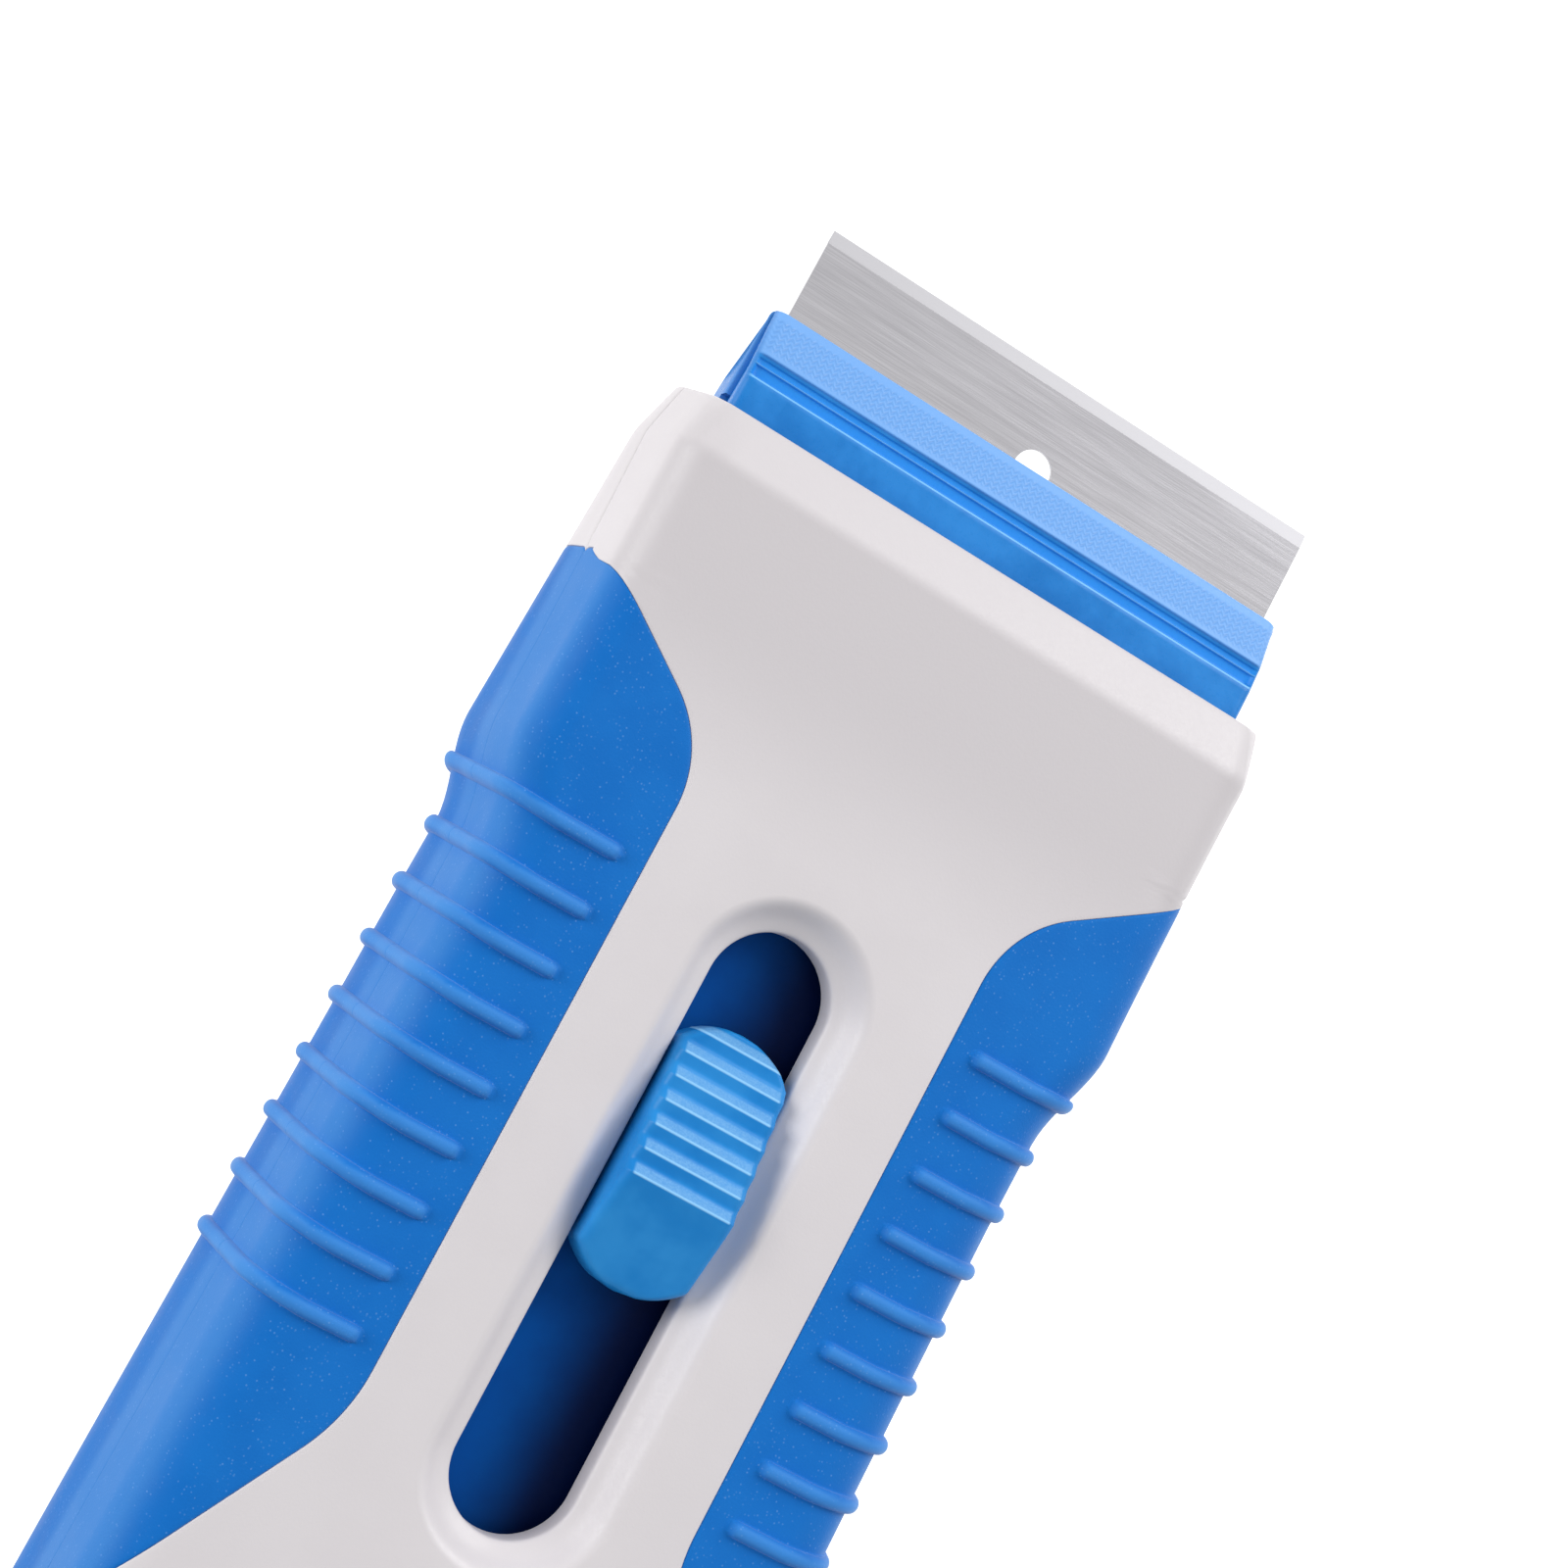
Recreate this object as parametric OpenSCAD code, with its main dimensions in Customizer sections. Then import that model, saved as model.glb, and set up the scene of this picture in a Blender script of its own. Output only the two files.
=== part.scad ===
// Retractable razor blade scraper.
// A two-shell handle with soft side grips holds a sliding carriage. The carriage carries a thumb
// button, and at its front a spring-closed pair of jaws that pinch a single-edge blade.
// X runs across the handle, Y towards the blade and Z up from the back face that it lies on.

/* [Handle] */
// Length of the handle from tail to mouth
body_len = 112; // [106:1:130]
// Thickness of the handle
body_t = 17; // [16.5:0.25:19]
// Width of the head
head_w = 48.2; // [47.6:0.2:54]
// Width of the handle behind the shoulder
handle_w = 45.2; // [44.4:0.2:47.6]
// Width of the palm swell near the tail
tail_w = 46.2; // [44:0.2:48.6]
// Width of the blunt end of the tail
tail_end_w = 15; // [10:0.5:24]
// Distance from the mouth back to the start of the shoulder
shoulder_back = 24; // [23:0.5:26]
// Length of the shoulder along the handle
shoulder_len = 7.5; // [5:0.5:9]
// Radius of the top corners of the cross-section
top_r = 4; // [3.5:0.25:4.5]
// Radius of the head's back corners
head_r = 4.5; // [3.5:0.25:5]
// Radius of the handle's back corners
handle_r = 6; // [5:0.25:7]
// Lean of the head's side walls in degrees
head_lean = 7; // [4:0.5:8]
// Lean of the handle's side walls in degrees
handle_lean = 12; // [8:0.5:14]
// Length over which the tail rounds off in plan
tail_round = 20; // [14:1:24]
// Length of the long curve under the tail
tail_back_len = 16; // [10:1:20]
// Height that the back of the tail rises
tail_back_rise = 7; // [4:0.5:8]
// Length of the short curve on top of the tail
tail_top_len = 9; // [6:0.5:12]
// Height that the top of the tail drops
tail_top_drop = 2.5; // [1:0.25:3]

/* [Nose] */
// Length of the bevel round the mouth
nose_len = 3.6; // [2:0.2:5]
// Height that the top bevel drops towards the mouth
nose_drop = 1.5; // [0.8:0.1:1.5]
// Width that each side bevel takes off at the mouth
nose_taper = 0.8; // [0.4:0.1:1.3]
// Height that the back rises towards the mouth
nose_rise = 5.2; // [5:0.2:7.4]
// Distance from the mouth back to where the back starts to rise
rise_back = 40; // [36:1:46]
// Length of the curve that starts the rise
rise_blend = 12; // [6:1:18]

/* [Walls] */
// Wall of the shells at the sides, with the grip's pocket in it
side_wall = 2; // [1.9:0.1:2.2]
// Wall of the top shell
top_wall = 1.8; // [1.7:0.1:1.9]
// Wall of the bottom shell
floor_wall = 1.6; // [1.4:0.1:2]
// Wall at the mouth and at the tail
end_wall = 1.6; // [1.2:0.1:2]
// Depth that ribs, bosses and rails are sunk into the wall that carries them
root = 0.4; // [0.3:0.05:0.5]

/* [Grips] */
// Thickness of the soft grips
grip_t = 1; // [0.8:0.05:1.1]
// Distance from the middle of the handle to a grip's straight inner edge
grip_edge_x = 11.7; // [10.5:0.1:12.4]
// Distance from the mouth back to the front end of the straight edge
grip_front_back = 24.3; // [23:0.1:26]
// Radius of the front bend of the edge
grip_front_r = 8; // [5:0.5:10]
// Angle through which the edge turns at the front
grip_front_angle = 56.5; // [45:0.5:62]
// Distance from the mouth back to the rear end of the straight edge
grip_rear_back = 63.4; // [62.5:0.1:66]
// Radius of the rear bend of the edge
grip_rear_r = 12; // [8:0.5:16]
// Angle through which the edge turns at the rear
grip_rear_angle = 30; // [26:0.5:40]
// Gap between a grip and its pocket
grip_gap = 0.08; // [0.05:0.01:0.12]

/* [Ribs] */
// Number of ribs on each grip
rib_count = 9; // [5:1:9]
// Distance from the mouth back to the first rib
rib_first_back = 28.6; // [27:0.1:29]
// Distance from rib to rib
rib_pitch = 4.17; // [3:0.01:4.2]
// Width of a rib
rib_w = 1.25; // [1:0.05:1.6]
// Height of a rib
rib_h = 0.65; // [0.3:0.05:0.8]
// Distance from the grip's inner edge to the end of a rib
rib_inset = 2.2; // [1.4:0.1:3]
// Length over which the end of a rib fades out
rib_fade = 0.8; // [0.4:0.1:1.2]
// Angle round the back corner at which the ribs end
rib_back_angle = 52; // [30:1:58]

/* [Thumb slot] */
// Distance from the mouth back to the front end of the slot
slot_back = 27.4; // [27:0.1:28.4]
// Length of the slot
slot_len = 42; // [41.5:0.5:46]
// Width of the slot
slot_w = 8.7; // [8.5:0.1:9.4]
// Depth of the slot's rim below the top face
slot_rim_depth = 3; // [2:0.1:3.6]
// Width of the dished ring round the slot
recess_w = 1.9; // [1:0.1:2.2]
// Wall of the well below the dished ring
well_wall = 1; // [0.8:0.1:1.2]

/* [Blade] */
// Depth of the blade plane below the top face
blade_below_top = 5; // [4.9:0.05:5.3]
// Width of the blade
blade_w = 39; // [37:0.1:39.2]
// Depth of the blade from its edge to its back
blade_d = 18; // [17:0.1:18.3]
// Thickness of the blade
blade_t = 0.25; // [0.2:0.01:0.3]
// Width of the ground band at the edge
blade_band = 0.95; // [0.5:0.05:1.5]
// Thickness left at the sharp edge
blade_edge_t = 0.02; // [0.01:0.01:0.05]
// Diameter of the blade's hole
blade_hole_d = 2.8; // [2:0.1:4]
// Distance from the edge to the hole's centre
blade_hole_back = 6.5; // [5:0.1:8]
// Distance that the blade stands out of the mouth as drawn
blade_out = 14.35; // [14:0.05:14.8]
// Gap between the blade and the jaws, above and below
blade_gap = 0.03; // [0.02:0.01:0.05]
// Gap between the blade and each end of its pocket
blade_side_gap = 0.12; // [0.08:0.01:0.2]

/* [Jaws] */
// Distance from the blade's edge back to the tip of the jaws
jaw_tip_back = 6.75; // [6:0.05:7.5]
// Width of the jaws at the tip
jaw_tip_w = 40.8; // [40.2:0.1:40.9]
// Width of the jaws where they enter the mouth
jaw_base_w = 41.2; // [40.8:0.1:41.4]
// Length of the sloping land on the upper jaw
land_len = 3.2; // [2.5:0.1:4]
// Height of the upper jaw's tip above the blade plane
upper_tip_h = 0.75; // [0.6:0.05:1]
// Height of the land's rear edge above the blade plane
land_h = 1.85; // [1.4:0.05:1.95]
// Height of the upper jaw's flat back above the blade plane
upper_h = 2.05; // [1.9:0.05:2.1]
// Length of the channel behind the land
channel_len = 1.4; // [1:0.1:1.8]
// Depth of the channel below the flat back
channel_depth = 0.5; // [0.2:0.05:0.6]
// Depth of the lower jaw's tip below the blade plane
lower_tip_h = 0.8; // [0.7:0.05:1]
// Depth of the lower jaw below the blade plane
lower_h = 2.8; // [2.7:0.05:2.85]
// Length of the slope under the lower jaw
lower_slope = 5.5; // [3:0.1:7]
// Chamfer of the jaws' front corners
jaw_corner = 0.6; // [0.4:0.1:1.5]
// Wall behind the blade in the lower jaw
blade_stop = 0.8; // [0.6:0.1:0.9]
// Gap between the upper jaw and the lower jaw
jaw_gap = 0.04; // [0.02:0.01:0.06]
// Gap between the jaws and the mouth at the sides
mouth_side_gap = 0.4; // [0.3:0.05:0.5]
// Gap below the jaws in the mouth
mouth_low_gap = 0.5; // [0.3:0.05:0.6]
// Height of the mouth above the flat back of the upper jaw
mouth_high_gap = 0.85; // [0.8:0.05:0.9]

/* [Jaw hinge] */
// Distance from the blade's back to the hinge
hinge_back = 2.4; // [2.2:0.1:2.5]
// Height of the hinge above the blade plane
hinge_h = 0.2; // [0:0.05:0.3]
// Diameter of the hinge pin
pin_d = 1.6; // [1.4:0.1:1.7]
// Outer diameter of the knuckles
knuckle_d = 3; // [2.8:0.1:3]
// Running gap between the pin and the upper jaw
pin_gap = 0.05; // [0.02:0.01:0.08]
// Gap between the pin and the lower jaw's ears
ear_gap = 0.02; // [0.01:0.01:0.04]
// Distance from the middle to the outside of the ears
ear_x = 16; // [15:0.1:17]
// Width of an ear
ear_w = 3.2; // [2.5:0.1:4]
// Side gap between an ear and the upper jaw
ear_side_gap = 0.3; // [0.2:0.05:0.5]
// Half of the gap in the knuckle for the spring
spring_bay = 2.6; // [2:0.1:3]
// Wire diameter of the jaw spring
jaw_wire = 0.4; // [0.3:0.05:0.45]
// Distance from turn to turn of the jaw spring
jaw_spring_pitch = 0.6; // [0.55:0.01:0.65]
// Number of whole turns of the jaw spring
jaw_spring_turns = 4; // [3:1:5]
// Gap between the jaw spring and the pin
jaw_spring_gap = 0.2; // [0.1:0.05:0.25]
// Length of the spring's leg on the upper jaw
jaw_spring_leg = 3.6; // [2.5:0.1:4.5]

/* [Carriage] */
// Width of the carriage
carriage_w = 26; // [24:0.2:27]
// Thickness of the carriage
carriage_t = 1.7; // [1.5:0.05:1.75]
// Length of the carriage
carriage_len = 63; // [61:0.5:64]
// Length of the lower jaw's flange that the carriage lies on
lap_len = 4; // [3.6:0.1:4.6]
// Width of the flange
flange_w = 22; // [20:0.2:22.2]
// Gap under the carriage and above it
slide_gap = 0.1; // [0.05:0.01:0.15]
// Gap beside the carriage
guide_gap = 0.1; // [0.05:0.01:0.2]
// Width of the rails beside the carriage
rail_w = 1.3; // [1:0.1:1.6]
// Width of the ledges under the carriage
ledge_w = 1.7; // [1.2:0.1:1.8]
// Distance that the rails end behind the shoulder's start
rail_front = 1.5; // [1:0.1:3]
// Distance from the tail to the rear ends of the rails
rail_rear = 23; // [21:0.5:24]
// Distance from the middle to a jaw rivet
rivet_x = 8.5; // [8:0.1:9]
// Diameter of a rivet's shank
rivet_d = 2; // [1.6:0.1:2.2]
// Diameter of a rivet's heads
rivet_head_d = 3.4; // [3:0.1:3.6]
// Height of a rivet's heads
rivet_head_t = 0.5; // [0.3:0.05:0.6]
// Gap between a rivet and its holes
rivet_gap = 0.02; // [0.01:0.01:0.05]

/* [Thumb button] */
// Distance from the slot's front end to the button as drawn
button_back = 7.05; // [6.8:0.05:7.4]
// Length of the button
button_len = 18; // [16:0.5:18.5]
// Width of the button
button_w = 8.1; // [7.4:0.1:8.1]
// Radius of the button's front and rear ends in plan
button_r = 5.2; // [4.4:0.1:8]
// Height of the button's front edge below the top face
button_front_below = 2; // [1.5:0.1:2.4]
// Height of the button's crest above the top face
button_crest = 1.4; // [0.8:0.1:2]
// Height of the button's rear edge below the top face
button_rear_below = 1; // [0.5:0.1:1.8]
// Number of steps on the button
step_count = 7; // [5:1:7]
// Distance from step to step
step_pitch = 1.65; // [1.3:0.05:1.75]
// Depth of a step
step_depth = 0.5; // [0.3:0.05:0.6]
// Share of a step that its long face takes up
step_lean = 0.45; // [0.4:0.05:0.7]
// How much the button's top swells above a straight rise
button_swell = 1.35; // [1:0.05:2]
// Distance from the button's front to the first step
step_start = 0.3; // [0.2:0.1:0.8]
// Distance that the button can be pressed
press = 1.2; // [0.8:0.1:1.2]
// Gap left under the pressed button
press_gap = 0.2; // [0.1:0.05:0.3]
// Diameter of the button's stem
stem_d = 3.9; // [3.4:0.1:4]
// Running gap between the stem and its bore
stem_gap = 0.05; // [0.02:0.01:0.08]
// Diameter of the boss that guides the stem
boss_d = 8.6; // [8:0.1:9]
// Depth of the boss below the carriage
boss_h = 1.9; // [1.6:0.1:2.4]
// Diameter of the spring's seat in the carriage
seat_d = 6.4; // [6.2:0.1:6.6]
// Depth of the spring's seat
seat_depth = 2.4; // [2:0.1:2.5]
// Wire diameter of the button spring
button_wire = 0.45; // [0.3:0.05:0.5]
// Mean diameter of the button spring
button_spring_d = 5.2; // [5:0.05:5.4]
// Number of turns of the button spring
button_spring_turns = 4; // [3:1:5]
// Thickness of the clip on the stem
clip_t = 0.5; // [0.3:0.05:0.6]
// Outer diameter of the clip
clip_d = 6.4; // [5.5:0.1:7]
// Depth of the stem's groove for the clip
clip_groove = 0.4; // [0.3:0.05:0.5]
// Gap round the clip
clip_gap = 0.05; // [0.03:0.01:0.08]
// Length of the stem below the clip
stem_end = 0.6; // [0.4:0.1:0.8]

/* [Detent] */
// Distance from the middle to the detent
detent_x = 8; // [7.4:0.1:8.4]
// Width of the detent spring
leaf_w = 2; // [1.6:0.1:2.4]
// Thickness of the detent spring
leaf_t = 0.3; // [0.2:0.05:0.35]
// Length of the spring's flat end on the carriage
leaf_foot = 4.4; // [4:0.1:5]
// Length of the spring's sloping arm
leaf_arm = 5.5; // [5:0.1:7]
// Length of the spring's bump
leaf_bump = 2.4; // [2:0.1:2.8]
// Depth of the spring's bump
leaf_bump_h = 0.75; // [0.5:0.05:0.8]
// Length of the spring's lifted tip
leaf_tip = 1.2; // [0.8:0.1:1.5]
// Distance that the arm drops below the carriage
leaf_drop = 1.1; // [0.9:0.05:1.2]
// Distance from the button's rear end back to the spring's foot
leaf_back = 5.6; // [5.2:0.1:6]
// Gap between the spring and the notched rack
rack_gap = 0.1; // [0.05:0.01:0.15]
// Width of the rack
rack_w = 2.4; // [2:0.1:2.8]
// Length of the rack beyond its end notches
rack_end = 2.5; // [1.5:0.1:3]
// Diameter of the spring's rivet
leaf_rivet_d = 1.6; // [1.4:0.1:1.8]
// Diameter of the spring's rivet heads
leaf_rivet_head_d = 2.8; // [2.4:0.1:3]

/* [Travel] */
// Distance that the carriage slides back to hide the blade
travel_back = 15.5; // [15:0.1:15.6]
// Distance that the carriage slides forward to change the blade
travel_forward = 5.5; // [4:0.1:5.6]

/* [Fasteners] */
// Distance from the middle to a screw
screw_x = 10; // [8:0.1:11]
// Distance from the tail to the screws
screw_from_tail = 19; // [18:0.1:20]
// Diameter of a screw's shank
screw_d = 2.6; // [2.2:0.1:3]
// Diameter of a screw's head
screw_head_d = 5; // [4.4:0.1:5.4]
// Height of a screw's head
screw_head_t = 1.8; // [1.4:0.1:2]
// Depth of the head below the back face
screw_sink = 0.5; // [0.3:0.1:0.8]
// Length of a screw below its head
screw_len = 11; // [10.5:0.1:11.2]
// Gap between a screw and its holes
screw_gap = 0.05; // [0.02:0.01:0.1]
// Wall of the screw bosses
screw_wall = 1.2; // [1:0.1:1.5]
// Width of the driver's cross in a screw
cross_w = 0.7; // [0.5:0.05:0.9]
// Depth of the driver's cross
cross_depth = 1; // [0.6:0.1:1.2]
// Width of the locating tongues in the head
tongue_len = 4; // [3:0.1:5]
// Thickness of the tongues
tongue_t = 0.6; // [0.5:0.05:0.65]
// Distance that the tongues reach below the seam
tongue_reach = 1.8; // [1:0.1:2.2]
// Gap between a tongue and the bottom shell
tongue_gap = 0.1; // [0.05:0.01:0.15]

/* [Hidden] */
$fn = 48;

// Colours
shell_white = [0.86, 0.85, 0.86];
grip_blue = [0.06, 0.36, 0.78];
holder_blue = [0.2, 0.55, 0.9];
carriage_blue = [0.05, 0.38, 0.72];
steel = [0.7, 0.7, 0.72];

// Fineness of the curved forms
arc_steps = 6;
side_steps = 6;
edge_steps = 3;
inner_steps = 5;
bend_steps = 6;
tail_steps = 7;
shoulder_steps = 6;
rise_steps = 4;
wire_sides = 6;
turn_steps = 12;
// Exponents of the rounded ends, and the least width of a grip at its pointed ends
plan_power = 2.6;
crown_power = 2.2;
least_strip = 3;
// Share of a rib's half width, and the height there, that make its section round
rib_round_at = 0.55;
rib_round_h = 0.84;
// How far cutting solids reach past what they cut
over = 1;
big = 300;

// Heights
blade_z = body_t - blade_below_top;
seam_z = blade_z;
// Places along the handle
mouth_y = body_len / 2;
tail_y = -body_len / 2;
bevel_y = mouth_y - nose_len;
shoulder_y = mouth_y - shoulder_back;
waist_y = shoulder_y - shoulder_len;
rise_y = mouth_y - rise_back;
tail_round_y = tail_y + tail_round;
tail_back_y = tail_y + tail_back_len;
tail_top_y = tail_y + tail_top_len;
grip_front_y = mouth_y - grip_front_back;
grip_rear_y = mouth_y - grip_rear_back;
edge_y = mouth_y + blade_out;
blade_back_y = edge_y - blade_d;
jaw_tip_y = edge_y - jaw_tip_back;
hinge_y = blade_back_y - hinge_back;
hinge_z = blade_z + hinge_h;
jaw_rear_y = blade_back_y - blade_stop;
slot_front_y = mouth_y - slot_back;
slot_rear_y = slot_front_y - slot_len;
button_front_y = slot_front_y - button_back;
button_rear_y = button_front_y - button_len;
button_y = button_front_y - button_len / 2;
rib_end_x = grip_edge_x + rib_inset;
// Jaws and mouth
blade_low_z = blade_z - blade_t / 2 - blade_gap;
blade_high_z = blade_z + blade_t / 2 + blade_gap;
upper_low_z = blade_high_z + jaw_gap;
jaw_low_z = blade_z - lower_h;
flange_top_z = hinge_z - knuckle_d / 2 - ear_side_gap;
upper_rear_y = hinge_y + knuckle_d / 2 + ear_side_gap;
mouth_half = jaw_base_w / 2 + mouth_side_gap;
mouth_low_z = jaw_low_z - mouth_low_gap;
mouth_high_z = blade_z + upper_h + mouth_high_gap;
// Carriage
carriage_low_z = flange_top_z;
carriage_top_z = carriage_low_z + carriage_t;
flange_rear_y = hinge_y - knuckle_d / 2 - ear_side_gap - over - lap_len;
carriage_front_y = flange_rear_y + lap_len;
carriage_rear_y = carriage_front_y - carriage_len;
well_low_z = carriage_top_z + slide_gap;
ledge_z = carriage_low_z - slide_gap / 2;
rail_z = carriage_top_z - slide_gap;
rail_front_y = shoulder_y - rail_front;
rail_rear_y = tail_y + rail_rear;
guide_x = carriage_w / 2 + guide_gap;
rivet_y = flange_rear_y + lap_len / 2;
// Button and its spring
button_low_z = carriage_top_z + press_gap + press;
boss_low_z = carriage_low_z - boss_h;
seat_z = carriage_top_z - seat_depth;
clip_top_z = boss_low_z - clip_gap;
clip_low_z = clip_top_z - clip_t;
stem_low_z = clip_low_z - clip_gap - stem_end;
// Detent
leaf_rear_y = button_rear_y - leaf_back;
leaf_arm_y = leaf_rear_y + leaf_foot;
leaf_bump_y = leaf_arm_y + leaf_arm;
leaf_peak_y = leaf_bump_y + leaf_bump / 2;
leaf_low_z = carriage_low_z - leaf_drop;
rack_z = leaf_low_z - leaf_t - rack_gap;
leaf_rivet_y = leaf_rear_y + leaf_foot / 2;
notch_ys = [leaf_peak_y - travel_back, leaf_peak_y, leaf_peak_y + travel_forward];
// Screws and tongues
screw_y = tail_y + screw_from_tail;
screw_seat_z = screw_sink + screw_head_t;
screw_boss_r = screw_head_d / 2 + screw_gap + screw_wall;
tongue_y = shoulder_y + tongue_len;

// Rules of the form

// Rises smoothly from 0 at a to 1 at b
function ease(a, b, t) =
    let (u = max(0, min(1, (t - a) / (b - a))))
    u * u * (3 - 2 * u);

// Falls from 1 at v = 0 to 0 at v = 1 like a rounded end
function dome(v, power) = v <= 0 ? 1 : v >= 1 ? 0 : pow(1 - pow(v, power), 1 / power);

// Half width of the handle at y
function half_w(y) =
    let (
        bevel = nose_taper * max(0, y - bevel_y) / nose_len,
        swell = (tail_w - handle_w) / 2 * (1 - ease(tail_round_y, waist_y, y)),
        full = handle_w / 2 + (head_w - handle_w) / 2 * ease(waist_y, shoulder_y, y) + swell - bevel,
        blunt = tail_end_w / 2
    )
    blunt + (full - blunt) * dome((tail_round_y - y) / tail_round, plan_power);

// Height of the top at y
function top_z(y) =
    body_t - nose_drop * max(0, y - bevel_y) / nose_len
    - tail_top_drop * (1 - dome((tail_top_y - y) / tail_top_len, crown_power));

// Height of the back at y: a parabola that runs into a straight rise to the mouth, and the tail's curve
function bottom_z(y) =
    let (
        slope = nose_rise / (rise_back - rise_blend / 2),
        run = max(0, y - rise_y),
        rise = run < rise_blend ? slope * run * run / (2 * rise_blend) : slope * (run - rise_blend / 2)
    )
    rise + tail_back_rise * (1 - dome((tail_back_y - y) / tail_back_len, crown_power));

// Share of the head's form at y
function head_share(y) = ease(waist_y, shoulder_y, y);

// Lean of the side walls at y
function lean(y) = handle_lean + (head_lean - handle_lean) * head_share(y);

// Centre across, centre height and radius of the top corner of the cross-section at y, then of its back
// corner, drawn in from the sides, the top and the bottom
function corners(y, side = 0, top = 0, bottom = 0) =
    let (
        a = lean(y),
        t = top_z(y) - top,
        b = bottom_z(y) + bottom,
        rt = min(max(top_r - side, 0.5), 0.4 * (t - b)),
        rb = min(max(handle_r + (head_r - handle_r) * head_share(y) - side, 0.5), 0.5 * (t - b)),
        xb = half_w(y) - side - rb,
        zt = t - rt,
        zb = b + rb
    )
    [xb + ((zb - zt) * sin(a) + rb - rt) / cos(a), zt, rt, xb, zb, rb];

// Length of the straight side wall of the cross-section at y
function wall_len(y) = let (c = corners(y), a = lean(y)) (c[1] - c[4] - (c[5] - c[2]) * sin(a)) / cos(a);

// Cross-section of the handle at y, drawn in from the sides, the top and the bottom
function section(y, side, top, bottom) =
    let (
        c = corners(y, side, top, bottom),
        a = lean(y),
        turns = [a, 90, 180 - a, 270, 360 + a]
    )
    [
        for (i = [0:3])
            for (k = [0:arc_steps])
                let (
                    v = turns[i] + (turns[i + 1] - turns[i]) * k / arc_steps,
                    x = i < 2 ? c[0] : c[3],
                    r = i < 2 ? c[2] : c[5]
                )
                [(i == 0 || i == 3 ? x : -x) + r * cos(v), y, (i < 2 ? c[1] : c[4]) + r * sin(v)]
    ];

// Point on the right side of the cross-section at y, at the length s above the foot of the top corner,
// moved out by d
function side_point(y, s, d) =
    let (
        c = corners(y),
        a = lean(y),
        wall = wall_len(y),
        top_arc = c[2] * (90 - a) * PI / 180,
        back_arc = c[5] * (90 + a) * PI / 180,
        up = a + s / c[2] * 180 / PI,
        down = a + (s + wall) / c[5] * 180 / PI
    )
    s >= top_arc ? [c[0] - (s - top_arc), y, c[1] + c[2] + d] :
    s >= 0 ? [c[0] + (c[2] + d) * cos(up), y, c[1] + (c[2] + d) * sin(up)] :
    s >= -wall ? [c[0] + (c[2] + d) * cos(a) - s * sin(a), y, c[1] + (c[2] + d) * sin(a) + s * cos(a)] :
    s >= -wall - back_arc ? [c[3] + (c[5] + d) * cos(down), y, c[4] + (c[5] + d) * sin(down)] :
    [c[3] + s + wall + back_arc, y, c[4] - c[5] - d];

// Length s at y of the height lift above the seam, on a surface moved out by d
function seam_s(y, d = 0, lift = 0) =
    let (
        c = corners(y),
        a = lean(y),
        wall = wall_len(y),
        z = seam_z + lift,
        s = (z - c[1] - (c[2] + d) * sin(a)) / cos(a)
    )
    s > 0 ? c[2] * (asin((z - c[1]) / (c[2] + d)) - a) * PI / 180 :
    s < -wall ? -wall - c[5] * (a - asin((z - c[4]) / (c[5] + d))) * PI / 180 :
    s;

// Length s at y where the top, its corner or the side wall lies at the distance x from the middle
function corner_s(y, x) =
    let (c = corners(y), a = lean(y), foot = c[0] + c[2] * cos(a))
    x < c[0] ? c[2] * (90 - a) * PI / 180 + c[0] - x :
    x < foot ? c[2] * (acos((x - c[0]) / c[2]) - a) * PI / 180 :
    (foot - x) / sin(a);

// Length s at y where the back or its corner lies at the distance x from the middle
function back_s(y, x) =
    let (
        c = corners(y),
        turn = x < c[3] ? 90 : acos(min(1, (x - c[3]) / c[5]))
    )
    -wall_len(y) - c[5] * (lean(y) + turn) * PI / 180 - max(0, c[3] - x);

// Distance from the middle to one bend of a grip's edge, a run dy beyond the straight edge
function bend_x(dy, r, angle) =
    dy <= 0 ? grip_edge_x :
    dy < r * sin(angle) ? grip_edge_x + r - sqrt(r * r - dy * dy) :
    grip_edge_x + r * (1 - cos(angle)) + (dy - r * sin(angle)) * tan(angle);

// Distance from the middle to a grip's edge at y
function grip_x(y) =
    min(
        half_w(y),
        max(bend_x(y - grip_front_y, grip_front_r, grip_front_angle), bend_x(grip_rear_y - y, grip_rear_r, grip_rear_angle))
    );

// Run from the end of the straight edge to where the bend reaches the half width w
function bend_run(w, r, angle) = r * sin(angle) + (w - grip_edge_x - r * (1 - cos(angle))) / tan(angle);

// Depth of the inner wall under the outside, and where the tongues lie against it at the seam
inner_d = side_wall + (side_wall - floor_wall) * sin(head_lean);
tongue_x = side_point(tongue_y, seam_s(tongue_y, -inner_d), -inner_d)[0] - tongue_gap;

grip_tip_y = grip_front_y + bend_run(head_w / 2, grip_front_r, grip_front_angle);
grip_heel_y = grip_rear_y - bend_run(tail_w / 2, grip_rear_r, grip_rear_angle);

// Sorts a list from high to low
function sorted(v) =
    len(v) < 2 ? v :
    let (
        pivot = v[floor(len(v) / 2)],
        above = [for (x = v) if (x > pivot) x],
        same = [for (x = v) if (x == pivot) x],
        below = [for (x = v) if (x < pivot) x]
    )
    concat(sorted(above), same, sorted(below));

// Drops the entries of a falling list that lie closer than gap to the one before
function thinned(v, gap) = [for (i = [0:len(v) - 1]) if (i == 0 || v[i - 1] - v[i] > gap) v[i]];

// Steps from a to b
function steps(a, b, n) = [for (k = [0:n]) a + (b - a) * k / n];

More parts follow.
